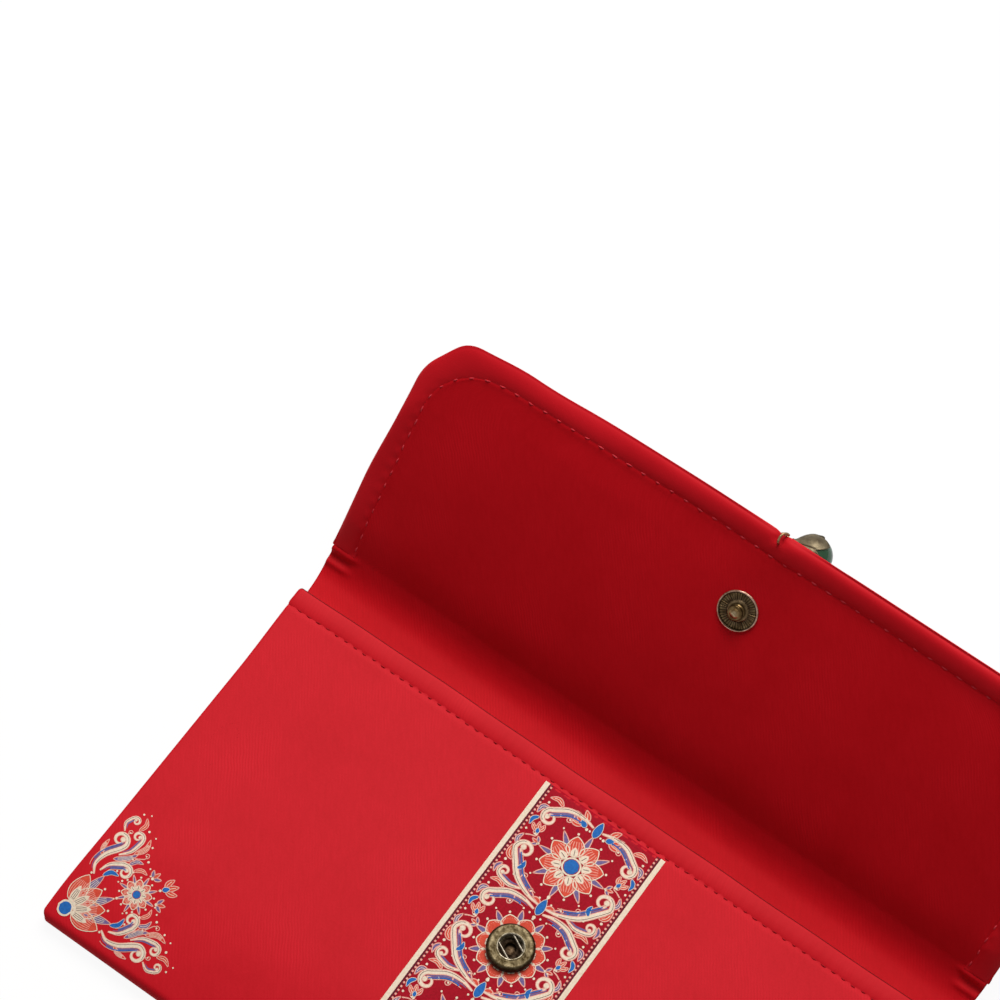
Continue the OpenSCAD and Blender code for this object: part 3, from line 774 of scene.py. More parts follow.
def place_rim(run, step):
    """Rolled rim, run mm along its seam, at a step of its section."""
    k = np.rint(step).astype(int)
    share, n = rim_section[k, 0], rim_section[k, 1]
    seam = np.column_stack([np.interp(run, seam_run, seam_line[:, i]) for i in (0, 1)])
    edge = np.column_stack([np.interp(run, seam_run, outer_line[:, i]) for i in (0, 1)])
    top = rise(seam[:, 1], 40, 52)
    # The charm's link pulls a dent into the free edge, with a lump beside it.
    dent = bell(edge[:, 0], 0.2, 1.3) * top
    lump = bell(edge[:, 0], 4.2, 2.4) * top
    share = share - 0.07 * dent * np.clip(share, 0, 1)
    out = np.clip(share, 0, 1)
    beat = np.cos(2 * np.pi * (run - FLAP_FIRST) / FLAP_STEP)
    drift = 0.06 * np.sin(run / 6.1) + 0.07 * np.sin(run / 15 + 1)
    full = 1 + drift - 0.05 * beat * bell(share, 0.15, 0.15)
    full = full + 0.2 * lump - 0.5 * dent * rise(share, 0.5, 0.75)
    # The roll runs flat where it goes into the spine.
    base = np.minimum(run, seam_run[-1] - run)
    full = full * (0.62 + 0.38 * rise(base, 0, 9))
    close = np.sqrt(np.clip(1 - (1 - np.clip(base / 1.6, 0, 1)) ** 2, 0, 1))
    # The inner side follows the bowed face. Its roll is lower along the sides, and to the left it bends away.
    fall = rise(-seam[:, 0], -10, 55) * top
    follow = np.clip((n + FLAP_T / 2) / (FLAP_T / 2), 0, 1)
    n = np.where(n > 0, n * (0.5 + 0.5 * top) * (1 - 0.75 * fall), n) - RIM_BEND * fall * out**2
    n = n + bow(seam[:, 0], seam[:, 1]) * follow
    middle = -FLAP_T / 2
    n = middle + (n - middle) * full * (0.25 + 0.75 * close)
    flat = seam + (edge - seam) * share[:, None]
    flat[:, 0] += 0.05 * np.sin(run / 5) * out
    sag = 0.35 * fall + 0.6 * bell(seam[:, 0], -60, 11) * top
    flat[:, 1] += 0.35 * (1 - close) - sag * out
    return on_flap(flat[:, 0], flat[:, 1], n)


RIM_END = 2  # close rows at the rim's two ends
rim_steps = np.concatenate([
    np.linspace(0, RIM_END, 9)[:-1], np.linspace(RIM_END, seam_run[-1] - RIM_END, 380),
    np.linspace(seam_run[-1] - RIM_END, seam_run[-1], 9)[1:]])
rim = lay_cloth("flap_rim", rim_steps, np.arange(len(rim_section)), place_rim)
thicken(rim, 0.3)


def pad(x, d):
    """Soft rise of the flap's faces between seam and stud."""
    inside = np.minimum(seam_half(np.clip(d, 0, FIELD_TOP - 0.1)) - np.abs(x), FIELD_TOP - d)
    drift = 0.5 + 0.3 * np.sin(x / 21 + d / 17) + 0.2 * np.sin(x / 9.5 - d / 8 + 1)
    return PAD_H * rise(inside, 0.5, 9) * rise(d, 0, 12) * drift


def place_flap_outside(c, d):
    """Outer face of the flap, pushed in at the seam."""
    half = field_half(d)
    x = c / FIELD_HALF * half
    n = -FLAP_T - pad(x, d) * (1 - bell(np.hypot(x, d - STUD_D), 0, 9))
    return on_flap(x, d, n + 0.3 * (1 - rise(to_seam(x, d, half), 0, 1.6)))


def field_columns(count, bunch):
    """Places across the flap's faces, closer to each other towards the sides."""
    return FIELD_HALF * np.sin(np.linspace(-1, 1, count) * bunch) / math.sin(bunch)


FINE_D = 46  # rows of the flap's faces are close together from here on
field_rows = np.concatenate([
    np.linspace(0, FINE_D, 40)[:-1], np.linspace(FINE_D, FIELD_TOP + UNDER_RIM, 34)])
outside = lay_cloth("flap_outside", field_columns(121, 1.35), field_rows[::-1], place_flap_outside)
pierce(outside, 0, STUD_D, POST_HOLE)
thicken(outside, CLOTH_T)
flap_cloth = joined("flap_cloth", [rim, outside])
stand_in(flap_cloth, red_lawn, ["flap_cover", "flap_binding"], "flap")


def place_card(c, d):
    """Card in the flap, which ends short of the seam."""
    x = c * (seam_half(d) - 4)
    return on_flap(x, d, np.full_like(x, -1.0))


flap_card = lay_cloth("flap_card", np.linspace(-1, 1, 91), np.linspace(8, 56, 33), place_card)
pierce(flap_card, 0, STUD_D, POST_HOLE)
thicken(flap_card, 0.6)
stand_in(flap_card, pulp_board, ["flap_board"], "flap")


# Cloth spine and the flap's inner face, one cloth from inside the mouth round the bend and on over the flap

JOIN_D = 9  # where the bend goes over into the flap
INNER_Z = 1.42
on_side = [on_flap(np.zeros(1), d, np.interp(d, bow_line[:, 0], bow_line[:, 1]))[0, 1:]
           for d in (0, 2.5, 5, 7, JOIN_D)]
# Side view of the inner cloth, y and z: it lies flat inside the mouth, turns up at the edge of the flap's
# board and eases on to the flap.
bend = smooth_line([(47, INNER_Z), (50, INNER_Z), (54.5, 1.45), (58.2, 1.85), (61.35, 3.42)] + on_side, 120)
bend_run = run_along(bend)
bend_way = unit(np.gradient(bend, axis=0))
BEND_S = bend_run[-1]
ROOT_S = BEND_S - JOIN_D  # the flap's root along the bend


def on_bend(x, s, n):
    """Place at s mm along the bend and n mm above it."""
    y, z = [np.interp(s, bend_run, bend[:, i]) for i in (0, 1)]
    run_y, run_z = [np.interp(s, bend_run, bend_way[:, i]) for i in (0, 1)]
    return np.column_stack([x, y - run_z * n, z + run_y * n])


def end_creases(x, s, half):
    """Small folds at the spine's two ends, where the cloth is gathered into the side seams."""
    end = half - np.abs(x)
    folds = 0
    for height, before, width, low in ((0.75, 0.6, 0.7, 3), (0.55, 4.4, 0.8, 2.5), (-0.45, 2.5, 0.9, 2)):
        folds = folds + height * bell(s, ROOT_S - before, width) * (1 - rise(end, low, low + 4))
    return folds


def spine_half(s):
    """Half the spine's width, which grows towards the flap."""
    return 91.5 + 1.1 * rise(s, 4, ROOT_S)


def place_inner(c, s):
    """Inner cloth, s mm along the bend and on over the flap."""
    d = s - ROOT_S
    half = spine_half(s)
    half = half + (field_half(d) - half) * rise(d, 0, 3)
    x = c / FIELD_HALF * half
    seam = to_seam(x, d, half)
    wave = 0.08 * np.sin(x / 19) * rise(s, 4, 9) * (1 - rise(d, -3, 3))
    n = pad(x, d) * (1 - bell(np.hypot(x, d - STUD_D), 0, 8)) + wave + end_creases(x, s, 91)
    n = n + (0.08 * bell(seam, 1.1, 0.8) - 0.15 * (1 - rise(seam, 0, 1.2))) * rise(d, 2, 6)
    return np.where((d > JOIN_D)[:, None], on_flap(x, d, n + bow(x, d)), on_bend(x, s, n))


inner_rows = np.concatenate([
    np.linspace(0.4, BEND_S, 64)[:-1], ROOT_S + np.linspace(JOIN_D, FINE_D, 34)[:-1],
    ROOT_S + np.linspace(FINE_D, FIELD_TOP + UNDER_RIM, 40)])
inner_cloth = lay_cloth("inner_cloth", field_columns(181, 1.38), inner_rows, place_inner)
pierce(inner_cloth, 0, ROOT_S + STUD_D, POST_HOLE)
thicken(inner_cloth, CLOTH_T)
stand_in(inner_cloth, red_inner, ["spine_lining", "flap_lining"])
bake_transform(inner_cloth)


SPINE_HALF = 91.6
BACK_T = 1.3  # from the inner cloth to the spine's outside, at the back


def place_spine(c, s):
    """Outer side of the fold, under the inner cloth."""
    half = spine_half(s) + 0.1
    x, deep = edge_turn(c * half / SPINE_HALF, half, 0.65)
    out = BACK_T + (FLAP_T - BACK_T) * rise(s - ROOT_S, -6, 1) - deep
    return on_bend(x, s, 0.5 * end_creases(x, s, SPINE_HALF) - out)


spine_cloth = lay_cloth("spine_cloth", edge_steps(SPINE_HALF, 1.0, 1.6),
                        np.linspace(ROOT_S + 1.5, 3, 44), place_spine)
thicken(spine_cloth, CLOTH_T)
stand_in(spine_cloth, red_twill, ["spine_cover"])
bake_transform(spine_cloth)


# Stitches

def sew(name, seats, length, thick, thread, body, nodes):
    """A row of stitches. Each seat is a middle and two directions, along the seam and out of the cloth."""
    bpy.ops.object.select_all(action="DESELECT")
    bpy.ops.mesh.primitive_uv_sphere_add(segments=8, ring_count=8, radius=1)
    one = bpy.context.object
    shape = np.array([v.co for v in one.data.vertices])
    faces = [list(f.vertices) for f in one.data.polygons]
    bpy.data.objects.remove(one)
    long = shape[:, 2]
    thin = thick * (0.55 + 0.45 * np.sqrt(np.clip(1 - long**2, 0, 1)))
    points, corners = [], []
    for i, (middle, along, out) in enumerate(seats):
        across = np.cross(along, out)
        sway = 0.07 * math.sin(2.1 * i) + 0.04 * math.sin(5.3 * i + 1)
        reach = length * (1 + 0.16 * math.sin(7.1 * i) + 0.1 * math.sin(1.3 * i))
        stitch = (middle + np.outer(long * reach / 2, along)
                  + np.outer(shape[:, 0] * thin + sway * (1 + long), across)
                  + np.outer(shape[:, 1] * thin + 0.03 * math.sin(3.7 * i) - 0.3 * long**2, out))
        corners += [[c + len(points) * len(shape) for c in f] for f in faces]
        points.append(stitch)
    co = np.vstack(points)
    piece = from_points(name, co, corners)
    piece.data.uv_layers.new()
    mark_cut(piece.data, co[:, :2])
    close_roll(piece)
    stand_in(piece, thread, nodes, body)


mouth_x = np.arange(MOUTH_FIRST, 0.5 - MOUTH_FIRST, MOUTH_STEP)
mouth_seats = [(p, np.array([1.0, 0, 0]), np.array([0, 0, 1.0]))
               for p in front_at(mouth_x, SEAM_Y + 0.06 * np.sin(mouth_x), 0.1)]
# Painted shade: the mouth's stitches take the thread's darker copy.
sew("mouth_stitches", mouth_seats, length=1.8, thick=0.22, thread=shaded_thread,
    body="pouch", nodes=["mouth_stitching"])

flap_seats = []
for height, face in ((0.0, 1), (-FLAP_T, -1)):
    for run in np.arange(FLAP_FIRST, seam_run[-1] - 2, FLAP_STEP):
        near = [run - 0.5, run, run + 0.5]
        x = np.interp(near, seam_run, seam_line[:, 0])
        d = np.interp(near, seam_run, seam_line[:, 1])
        spots = on_flap(x, d, (height + bow(x, d) * (face > 0)) + 0.13 * face)
        along = unit(spots[2:] - spots[:1])[0]
        out = face * np.array([0, -math.sin(FLAP_TILT), math.cos(FLAP_TILT)])
        flap_seats.append((spots[1], along, out))
# Painted light: the flap's stitches take the thread's lighter copy.
sew("flap_stitches", flap_seats, length=1.7, thick=0.19, thread=lit_thread,
    body="flap", nodes=["flap_stitching"])


# Print: a band of blossoms and scrolls between two stripes, and a spray in each bottom corner

prints = {name: [] for name in ("line", "orange", "cream", "pink", "lilac", "blue")}


def stroke(name, line, width):
    """A stroke of ink along a line, with its width at each point."""
    line = np.asarray(line, float)
    prints[name].append((line, np.broadcast_to(np.asarray(width, float), len(line))))


def sides_of(line):
    """Direction to the left at each point of a line."""
    step = np.gradient(line, axis=0)
    return unit(np.column_stack([-step[:, 1], step[:, 0]]))


def beside(line, far):
    """The same line, far mm to its left."""
    return line + sides_of(line) * np.reshape(far, (-1, 1))


def ray_at(degrees):
    """A direction on the print."""
    return np.array([math.cos(math.radians(degrees)), math.sin(math.radians(degrees))])


def wind(centre, radius, start, turns, steps=24, tight=0.34):
    """A line that winds inwards; turns below 0 wind clockwise."""
    k = np.linspace(0, 1, steps)
    a = np.radians(start) + 2 * np.pi * turns * k
    r = radius * tight**k
    return np.column_stack([centre[0] + r * np.cos(a), centre[1] + r * np.sin(a)])


def dot(at, r, name):
    """A round dot."""
    k = np.linspace(-1, 1, 9)
    return [(name, np.column_stack([at[0] + r * k, np.full(9, at[1])]), 2 * r * np.sqrt(1 - 0.998 * k**2))]


EDGE_INK = 0.24
VEIN_INK = 0.15


def leaf(points, width, fill, edge, vein=None, veins=1):
    """A leaf or petal along a line through points, with its edge drawn and fine veins."""
    line = smooth_line(points, 12)
    k = np.linspace(0, 1, 13)
    wide = width * np.sin(np.pi * k**0.8) ** 0.75
    made = [(fill, line, wide)]
    for s in (-1, 1):
        made.append((edge, beside(line, s * wide / 2), EDGE_INK))
    if vein:
        for s in np.linspace(-1, 1, veins + 2)[1:-1]:
            made.append((vein, beside(line, s * wide / 2)[2:-3], VEIN_INK))
    return made


def scroll(lead, centre, radius, start, turns, width):
    """A scroll that leads in through points and winds up to a ball, edged in pink, with lilac and blue
    beside it."""
    line = smooth_line(np.vstack([lead, wind(centre, radius, start, turns)]), 60)
    k = np.linspace(0, 1, 61)
    wide = width * (0.14 + 0.86 * np.sin(np.pi * k**0.85) ** 1.2)
    inwards = np.sign(-turns)
    fade = np.sin(np.linspace(0.1, 3.0, 34))
    made = [("pink", line, wide + 0.4), ("cream", line, wide)]
    made.append(("line", beside(line, inwards * 0.2 * wide)[8:44], 0.12))
    made.append(("lilac", beside(line, -inwards * (0.5 * wide + 0.48))[4:38], 0.46 * fade + 0.05))
    if radius > 2:
        made.append(("blue", beside(line, -inwards * (0.5 * wide + 0.95))[10:34], 0.3))
        made.append(("pink", beside(line, -inwards * (0.5 * wide + 1.3))[6:36], 0.18))
    return made + dot(line[-1], 0.7 * width, "pink") + dot(line[-1], 0.54 * width, "cream")


def curl(lead, centre, radius, start, turns):
    """A fine tendril."""
    line = smooth_line(np.vstack([lead, wind(centre, radius, start, turns, 16)]), 30)
    return [("pink", line, 0.34 - 0.16 * np.linspace(0, 1, 31))] + dot(line[-1], 0.26, "cream")


def bud(size):
    """A bud with three petals on a blue drop, pointing along +X."""
    made = []
    for a in (-36, 36, 0):
        petal = size * np.array([(0.8, 0.8), (2.4, 2.7), (4.3, 3.7)]) * ray_at(a)
        made += leaf(petal, 1.45 * size, "orange", "pink", "cream")
    made += leaf(size * np.array([(-0.2, 0), (0.8, 0), (1.8, 0)]), 1.3 * size, "blue", "cream")
    return made + dot((-0.75 * size, 0), 0.36 * size, "cream")


def sprig(size):
    """Three small leaves on a dot, pointing along +X."""
    made = []
    for a, name in ((-48, "lilac"), (48, "lilac"), (0, "orange")):
        blade = size * np.array([(0.3, 0.3), (1.3, 1.3), (2.4, 2.2)]) * ray_at(a)
        made += leaf(blade, 0.85 * size, name, "pink")
    return made + dot((0, 0), 0.34 * size, "cream")


def blossom(petals, inner, outer, heart):
    """A round blossom: narrow lilac petals, broad orange ones in front of them, and short pale ones at the
    heart."""
    made = []
    step = 360 / petals
    broad = math.radians(step) * (inner + 0.62 * (outer - inner)) * 0.98
    for i in range(petals):
        gap = ray_at(step * i)
        made += leaf([gap * (inner + 1), gap * (outer - 0.4), gap * (outer + 1.4)], 0.3 * broad,
                     "lilac", "pink")
        made += dot(gap * (outer + 2.0), 0.24, "cream")
    for i in range(petals):
        ray = ray_at(step * (i + 0.5))
        made += leaf([ray * inner, ray * (inner + outer) / 2, ray * outer], broad,
                     "orange", "cream", "pink", 5)
        made += leaf([ray * inner, ray * (0.7 * inner + 0.3 * outer), ray * (0.54 * inner + 0.46 * outer)],
                     broad * 0.4, "cream", "pink", "line")
        made += dot(ray * (outer + 0.6), 0.3, "cream")
    if heart:
        around = np.linspace(0, 2 * np.pi, 33)
        ring = np.column_stack([np.cos(around), np.sin(around)])
        made.append(("cream", ring * (heart + 0.55), 0.4))
        made += dot((0, 0), heart + 0.2, "blue")
        made.append(("cream", ring * heart * 0.55, 0.2))
    return made


def put(strokes, at, turn=0, size=1, pair=True):
    """Prints a motif, and its mirror image on the other side of the pouch."""
    c, s = ray_at(turn)
    for name, line, wide in strokes:
        line = np.asarray(line, float) * size
        wide = np.broadcast_to(np.asarray(wide, float) * size, len(line))
        x = at[0] + c * line[:, 0] - s * line[:, 1]
        y = at[1] + s * line[:, 0] + c * line[:, 1]
        stroke(name, np.column_stack([x, y]), wide)
        if pair:
            stroke(name, np.column_stack([-x, y])[::-1], wide[::-1])


BAND_TOP = 44
BAND_LOW = -47.6
BAND_HALF = 16.8
STRIPE_X = 16.2
FINE_LINE_X = 15.35
BEADS_X = 14.85
BEAD_STEP = 1.1
band_y = np.linspace(BAND_LOW, BAND_TOP, 92)
for side in (-1, 1):
    for name, x, wide in (("cream", STRIPE_X, 1.2), ("line", FINE_LINE_X, 0.3)):
        stroke(name, np.column_stack([np.full_like(band_y, side * x), band_y]), wide)
    for y in np.arange(BAND_LOW + 0.6, BAND_TOP - 0.3, BEAD_STEP):
        x = side * BEADS_X
        for bead in dot((x, y), 0.27, "pink") + dot((x, y + BEAD_STEP / 2), 0.2, "line"):
            stroke(*bead)

# One repeat of the band, measured from the middle of its blossom
PERIOD = 24.3
half_way = PERIOD / 2
repeat = scroll([(0.8, -12.0), (4.4, -11.4), (8.6, -9.4), (11.6, -6.0)], (11.0, -2.9), 2.4, -20, 1.15, 1.1)
repeat += scroll([(1.2, 10.9), (4.4, 11.6), (8.0, 11.2), (11.2, 9.2)], (10.9, 6.9), 2.1, 55, -1.15, 1.0)
repeat += scroll([(6.0, -11.0), (9.0, -12.0), (11.6, -11.6)], (11.9, -9.8), 1.6, -85, 1.05, 0.75)
repeat += leaf([(12.2, -6.6), (13.6, -5.6), (14.1, -3.4)], 1.2, "orange", "pink", "cream")
repeat += leaf([(13.2, -3.0), (14.1, -1.4), (13.5, 0.4)], 1.0, "lilac", "pink", "cream")
repeat += leaf([(9.9, -7.6), (9.2, -6.4), (9.4, -5.0)], 1.0, "blue", "cream")
repeat += leaf([(12.2, 9.0), (13.8, 8.4), (14.1, 6.4)], 1.1, "lilac", "pink", "cream")
repeat += leaf([(9.8, 11.0), (11.6, 11.9), (13.6, 11.2)], 1.1, "orange", "pink", "cream")
repeat += leaf([(13.0, 5.8), (14.0, 4.6), (13.9, 3.0)], 0.9, "blue", "cream")
repeat += leaf([(13.4, -8.4), (14.2, -9.8), (13.9, -11.4)], 0.8, "lilac", "pink")
repeat += curl([(8.2, -9.8), (8.0, -8.6)], (7.3, -8.0), 0.8, -30, 1.0)
repeat += curl([(6.6, 11.2), (6.2, 10.0)], (7.0, 9.2), 0.8, 160, 1.0)
repeat += curl([(13.2, 0.4), (12.0, 1.0)], (11.6, 2.0), 0.9, -120, -1.0)
repeat += curl([(2.4, -11.6), (3.4, -10.6)], (4.4, -10.2), 0.7, 190, -1.0)
for x, y, r, name in ((13.4, -7.3, 0.34, "cream"), (13.2, 10.0, 0.3, "cream"), (1.5, 9.7, 0.26, "cream"),
                      (5.9, -9.9, 0.26, "blue"), (13.9, 1.7, 0.28, "cream"), (9.7, -9.2, 0.28, "cream"),
                      (4.6, 10.2, 0.26, "blue"), (9.1, 8.9, 0.28, "cream"), (1.6, -10.4, 0.24, "cream")):
    repeat += dot((x, y), r, name)
for row in (-2, -1, 0, 1):
    y = SNAP_Y + PERIOD * row
    if row == 0:
        put(blossom(10, 4.9, 8.2, 0), (0, y), pair=False)
    elif row > -2:
        put(blossom(8, 2.4, 7.6, 1.6), (0, y), pair=False)
    seen = []
    for name, line, wide in repeat:
        inside = (line[:, 1] + y > BAND_LOW + 1) & (line[:, 1] + y < BAND_TOP - 0.8)
        if inside.all():
            seen.append((name, line, wide))
    put(seen, (0, y))
    put(bud(0.66), (11.2, y + 2.2), 70)
    put(sprig(0.8), (9.4, y + 0.2), 10)
    if row < 1:
        put(leaf([(0, -2.1), (0.01, 0), (0, 2.3)], 1.9, "blue", "cream"), (0, y + half_way), pair=False)
        put(leaf([(0, 0), (1.2, 0.9), (2.6, 0.6)], 0.9, "orange", "pink"), (0.7, y + half_way + 0.2))
        put(dot((0, 3.0), 0.42, "cream") + dot((0, -2.9), 0.42, "cream"), (0, y + half_way), pair=False)
put(bud(1.0), (3.0, 40.0), 30)
put(leaf([(0, 0), (0.01, 2.2), (0, 4.4)], 1.8, "blue", "cream"), (0, 38.8), pair=False)

# Bottom corners, measured from the pouch's left corner. The spray is alike on both sides of the diagonal.
fan = []
for a in (15, 45, 75):
    ray = ray_at(a)
    fan += leaf([ray * 6, ray * 10.4, ray * 15.2], 2.5, "lilac", "pink", "cream", 3)
    fan += dot(ray * 16.0, 0.42, "cream")
for a in (0, 30, 60, 90):
    ray = ray_at(a)
    fan += leaf([ray * 2.4, ray * 7.2, ray * 12.4], 5.8, "orange", "cream", "pink", 7)
    fan += leaf([ray * 2.4, ray * 5.2, ray * 8.2], 2.3, "cream", "pink", "line", 3)
    fan += dot(ray * 13.3, 0.36, "cream")
fan += dot((0, 0), 2.6, "cream") + dot((0, 0), 2.0, "blue") + dot((0, 0), 0.8, "cream")
# The same fan closes the band at the bottom fold.
put(fan, (0, -45.2), 45, size=0.6, pair=False)
wing = scroll([(13.4, 0.8), (16.4, -0.8), (20.4, 0.0), (24.2, 2.6)], (26.8, 0.8), 2.8, 110, -1.15, 1.35)
wing += scroll([(15.4, 1.6), (18.6, 3.0), (21.0, 6.2)], (19.2, 8.4), 2.4, -30, 1.1, 1.15)
wing += scroll([(22.6, 3.4), (25.6, 6.0), (29.4, 6.9)], (30.6, 4.9), 2.0, 100, -1.1, 0.95)
wing += scroll([(29.8, 0.2), (32.2, -1.2), (34.6, -0.4)], (34.4, 1.3), 1.5, -70, 1.05, 0.7)
wing += leaf([(20.6, 2.8), (23.4, 6.6), (26.4, 8.4)], 1.7, "lilac", "pink", "cream", 3)
wing += leaf([(25.4, 7.2), (28.8, 9.2), (32.2, 8.6)], 1.6, "orange", "pink", "cream", 3)
wing += leaf([(32.4, 3.8), (35.0, 4.6), (37.2, 3.4)], 1.3, "orange", "pink", "cream")
wing += leaf([(14.6, 3.4), (16.8, 5.0), (17.2, 7.6)], 1.4, "blue", "cream")
wing += leaf([(19.6, -1.0), (22.0, -2.0), (25.0, -2.0)], 1.3, "orange", "pink", "cream", 3)
wing += leaf([(21.8, 8.0), (24.0, 9.4), (24.6, 11.6)], 1.3, "lilac", "pink", "cream")
wing += leaf([(21.0, 10.4), (22.6, 12.4), (22.4, 14.6)], 1.2, "orange", "pink", "cream")
wing += curl([(21.8, 5.2), (23.0, 8.0)], (24.2, 8.0), 0.9, 190, -1.0)
wing += curl([(28.8, 3.2), (29.6, 1.8)], (30.6, 2.2), 0.9, 200, 1.0)
wing += curl([(24.6, 8.6), (26.0, 10.8)], (27.4, 10.8), 1.0, 170, -1.0)
for x, y, r in ((26.0, 12.4, 0.4), (30.4, 10.6, 0.34), (34.0, 6.6, 0.4), (22.6, 1.6, 0.34),
                (37.6, 1.8, 0.32), (18.2, 6.2, 0.34), (16.6, 9.4, 0.34), (33.4, 9.6, 0.28),
                (24.6, 14.2, 0.3), (38.6, 4.0, 0.26)):
    wing += dot((x, y), r, "cream")
fan += wing
for name, line, wide in wing:
    fan.append((name, line[::-1, ::-1], wide[::-1] if np.ndim(wide) else wide))
CORNER = np.array([4.0 - POUCH_W / 2, 4.4 - POUCH_H / 2])
put(fan, CORNER, size=0.74)
put(blossom(8, 1.4, 4.4, 0.9), CORNER + 11.6, size=0.82)
put(bud(1.0), CORNER + 15.9, 45, size=0.86)
put(sprig(1.1), CORNER + (16.6, 12.3), 20, size=0.84)
put(sprig(1.1), CORNER + (12.3, 16.6), 70, size=0.84)


def place_ground(x, y):
    """Ground of the printed band, just over the cloth."""
    return front_at(x, y, 0.02)


ground = lay_cloth("ground_print", np.linspace(-BAND_HALF, BAND_HALF, 40), band_y, place_ground)
pierce(ground, 0, SNAP_Y, RIVET_HOLE)
thicken(ground, 0.03)
stand_in(ground, ink("crimson_print_ground", "#ae0b23", "#98081b"), (), "pouch")

# Each ink's finish, and its height over the cloth
inks = {
    "line": (ink("brown_print_line", "#5f2a35", "#4a1f2b"), 0.075),
    "orange": (ink("orange_print", "#e2563f", "#d04636"), 0.045),
    "cream": (ink("cream_print", "#f6e6cf", "#e6d0b4"), 0.065),
    "pink": (ink("pink_print", "#f4b8a6", "#e6a191"), 0.055),
    "lilac": (ink("lilac_print", "#7f6f9c", "#665786"), 0.04),
    "blue": (ink("blue_print", "#2c72c0", "#245fa6"), 0.08),
}
for name, strokes in prints.items():
    points, faces = [], []
    first = 0
    for line, wide in strokes:
        points += [beside(line, wide / 2), beside(line, -wide / 2)]
        n = len(line)
        faces += [[first + i + n, first + i + n + 1, first + i + 1, first + i] for i in range(n - 1)]
        first += 2 * n
    flat = np.vstack(points)
    finish, lift = inks[name]
    piece = from_points(name + "_print", front_at(flat[:, 0], flat[:, 1], lift), faces)
    thicken(piece, 0.02)
    bpy.ops.object.shade_flat()
    stand_in(piece, finish, (), "pouch")


# Cap of the charm: petals pressed from sheet, with a small lip on their edges

CHARM_AT = np.array([0, 64.05, -4.25])
LEAN = math.radians(28)
HANG = math.radians(14)
PETALS = 6
CAP_TOP = 2.2  # from the eye
CAP_END = 9.4
charm_x = np.array([-math.sin(LEAN) * math.cos(HANG), math.sin(LEAN) * math.sin(HANG), -math.cos(LEAN)])
charm_y = np.array([math.sin(HANG), math.cos(HANG), 0])
charm_way = np.cross(charm_x, charm_y)
# Distance from the eye, and the cap's radius there
cap_line = smooth_line([
    (CAP_TOP, 0.9), (2.8, 1.1), (3.4, 1.75), (4.2, 2.8), (5.2, 3.85), (6.4, 4.65), (8.4, 5.1), (10, 4.85),
    (11.4, 4.15), (12.2, 3.5)], 80)


def place_cap(turn, k):
    """Petal cap at an angle in degrees, k of the way down."""
    share = np.abs(2 * ((turn * PETALS / 360 + 0.75) % 1) - 1)
    s = CAP_TOP + (CAP_END - 3 * share**1.5 - CAP_TOP) * k
    r = np.interp(s, cap_line[:, 0], cap_line[:, 1]) + 0.14 * rise(k, 0.86, 1)
    r = r - 0.18 * rise(share, 0.8, 1) * rise(s, 3, 4.4)
    a = np.radians(turn)
    out = np.outer(r * np.cos(a), charm_x) + np.outer(r * np.sin(a), charm_y)
    return on_flap(*(CHARM_AT + np.outer(s, charm_way) + out).T)


cap = lay_cloth("charm_petals", np.linspace(0, 360, 181), np.linspace(0, 1, 19), place_cap)
close_roll(cap)
thicken(cap, 0.25)
stand_in(cap, cap_bronze, ["charm_cap"], "charm")

# Link: fine wire bent to an oval, which the charm's eye hangs in. It leans towards the charm.
WIRE_R = 0.31
link_line = smooth_line([
    CHARM_AT, (0, 63, -3.75), (0.1, 62.95, -2.4), (0.3, 63.3, -0.9), (0.3, 63.75, 0.5), (0.15, 64.6, 1.1),
    (0, 65.6, 0.9), (0.2, 66.25, 0.1), (0.75, 66.4, -0.8), (1.15, 66, -1.7), (0.75, 65.6, -2.8),
    (0.1, 64.95, -3.9), CHARM_AT], 72)
link_way = np.gradient(link_line, axis=0)
link_way[0] = link_way[-1] = link_way[0] + link_way[-1]
link_a = unit(np.cross(link_way, [1, 0, 0]))
link_b = unit(np.cross(link_a, link_way))


def place_link(turn, step):
    """Wire at a step of the link's line, round its section by turn."""
    k = np.rint(step).astype(int)
    out = np.cos(turn)[:, None] * link_a[k] + np.sin(turn)[:, None] * link_b[k]
    return on_flap(*(link_line[k] + WIRE_R * out).T)


link = lay_cloth("charm_loop", np.linspace(0, 2 * np.pi, 11), np.arange(len(link_line)), place_link)
close_roll(link)
stand_in(link, gold_wire, ["charm_link"], "flap")


# Finishes of the solid pieces that stay as they are

for node_name, finish in {
    "back_board": pulp_board, "front_board": pulp_board,
    "snap_socket": antique_brass, "socket_eyelet": antique_brass, "socket_spring": spring_steel,
    "snap_stud": stud_bronze, "snap_cap": cap_finish,
    "charm_pin": gold_wire, "charm_bead": bead_glass,
}.items():
    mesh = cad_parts[node_name].data
    mesh.materials.clear()
    mesh.materials.append(finish)


# Floor, light and camera

scene = bpy.context.scene
scene.view_settings.view_transform = "Standard"

FLOOR_SIZE = 6000
FLOOR_GAP = 0.2
bpy.ops.object.select_all(action="DESELECT")
bpy.ops.mesh.primitive_plane_add(size=FLOOR_SIZE * MM, location=(0, 0, -FLOOR_GAP * MM))
floor = bpy.context.object
floor.name = "floor"
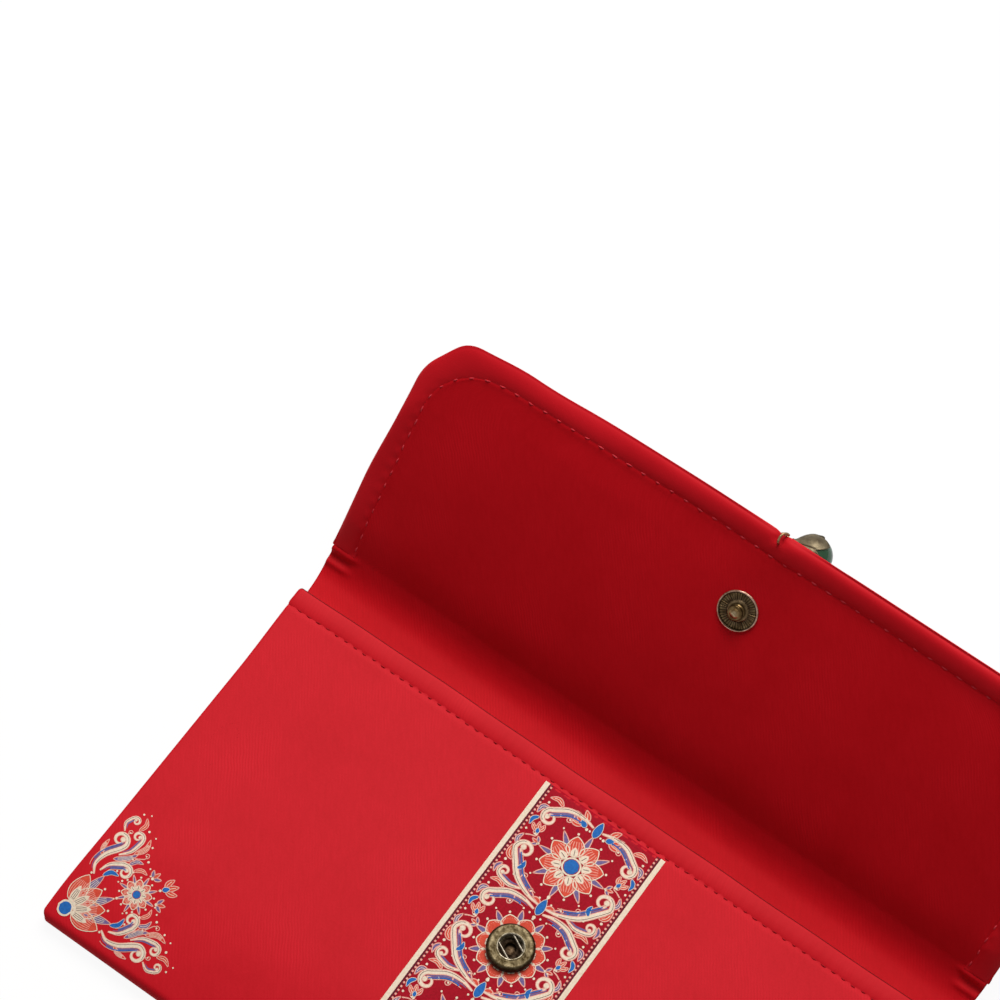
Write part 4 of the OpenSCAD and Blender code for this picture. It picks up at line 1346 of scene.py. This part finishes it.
# Paper that the eye and the reflections see white, while it throws plain grey light back at the pouch
paper, tree = new_finish("white_paper")
path = node(tree, "ShaderNodeLightPath")
seen = path.outputs["Is Camera Ray"]
for way in ("Is Glossy Ray", "Is Transmission Ray"):
    seen = node(tree, "ShaderNodeMath", {0: seen, 1: path.outputs[way]}, operation="MAXIMUM").outputs[0]
plain = node(tree, "ShaderNodeBsdfDiffuse", {"Color": linear("#c8c4c2")})
white = node(tree, "ShaderNodeEmission", {"Color": linear("#ffffff"), "Strength": 1.08})
share = node(tree, "ShaderNodeMath", {0: seen, 1: 0.86}, operation="MULTIPLY")
both = node(tree, "ShaderNodeMixShader", {0: share.outputs[0], 1: plain.outputs[0], 2: white.outputs[0]})
node(tree, "ShaderNodeOutputMaterial", {"Surface": both.outputs[0]})
floor.data.materials.append(paper)

world = bpy.data.worlds.new("studio")
scene.world = world
world.use_nodes = True
tree = world.node_tree
tree.nodes.clear()
path = node(tree, "ShaderNodeLightPath")
# Even light from all round, stronger where it is reflected
level = node(tree, "ShaderNodeMath", {
    0: path.outputs["Is Glossy Ray"], 1: 0.3, 2: 0.21}, operation="MULTIPLY_ADD")
fill = node(tree, "ShaderNodeBackground", {"Color": (1, 0.98, 0.97, 1), "Strength": level.outputs[0]})
backdrop = node(tree, "ShaderNodeBackground", {"Color": linear("#ffffff"), "Strength": 1.0})
both = node(tree, "ShaderNodeMixShader", {
    0: path.outputs["Is Camera Ray"], 1: fill.outputs[0], 2: backdrop.outputs[0]})
node(tree, "ShaderNodeOutputWorld", {"Surface": both.outputs[0]})


LAMP_AIM = (0, 0.03, 0.01)


def add_lamp(name, towards, far, size, watts):
    """A square soft box that looks at the pouch."""
    data = bpy.data.lights.new(name, "AREA")
    data.shape = "SQUARE"
    data.size = size
    data.energy = watts
    lamp = bpy.data.objects.new(name, data)
    scene.collection.objects.link(lamp)
    way = Vector(towards).normalized()
    lamp.location = Vector(LAMP_AIM) + way * far
    lamp.rotation_euler = way.to_track_quat("Z", "Y").to_euler()


add_lamp("key_box", towards=(-0.2, 0.55, 0.8), far=1.2, size=0.8, watts=15.5)

# The view of the photograph, fitted to the pouch's edges
SENSOR = 36
FOCAL = 3.62513  # focal length over sensor width
EYE = (0.112836, -0.237588, 0.79446)
LOOK = (-0.20604, 0.38277, -0.90057)
UP = (-0.54011, 0.72294, 0.43085)
camera_data = bpy.data.cameras.new("camera")
camera_data.sensor_fit = "HORIZONTAL"
camera_data.sensor_width = SENSOR
camera_data.lens = SENSOR * FOCAL
camera_data.clip_start = 0.01
camera = bpy.data.objects.new("camera", camera_data)
scene.collection.objects.link(camera)
scene.camera = camera
look = Vector(LOOK).normalized()
right = look.cross(Vector(UP)).normalized()
turn = Matrix((right, right.cross(look), -look)).transposed()
camera.matrix_world = Matrix.Translation(EYE) @ turn.to_4x4()
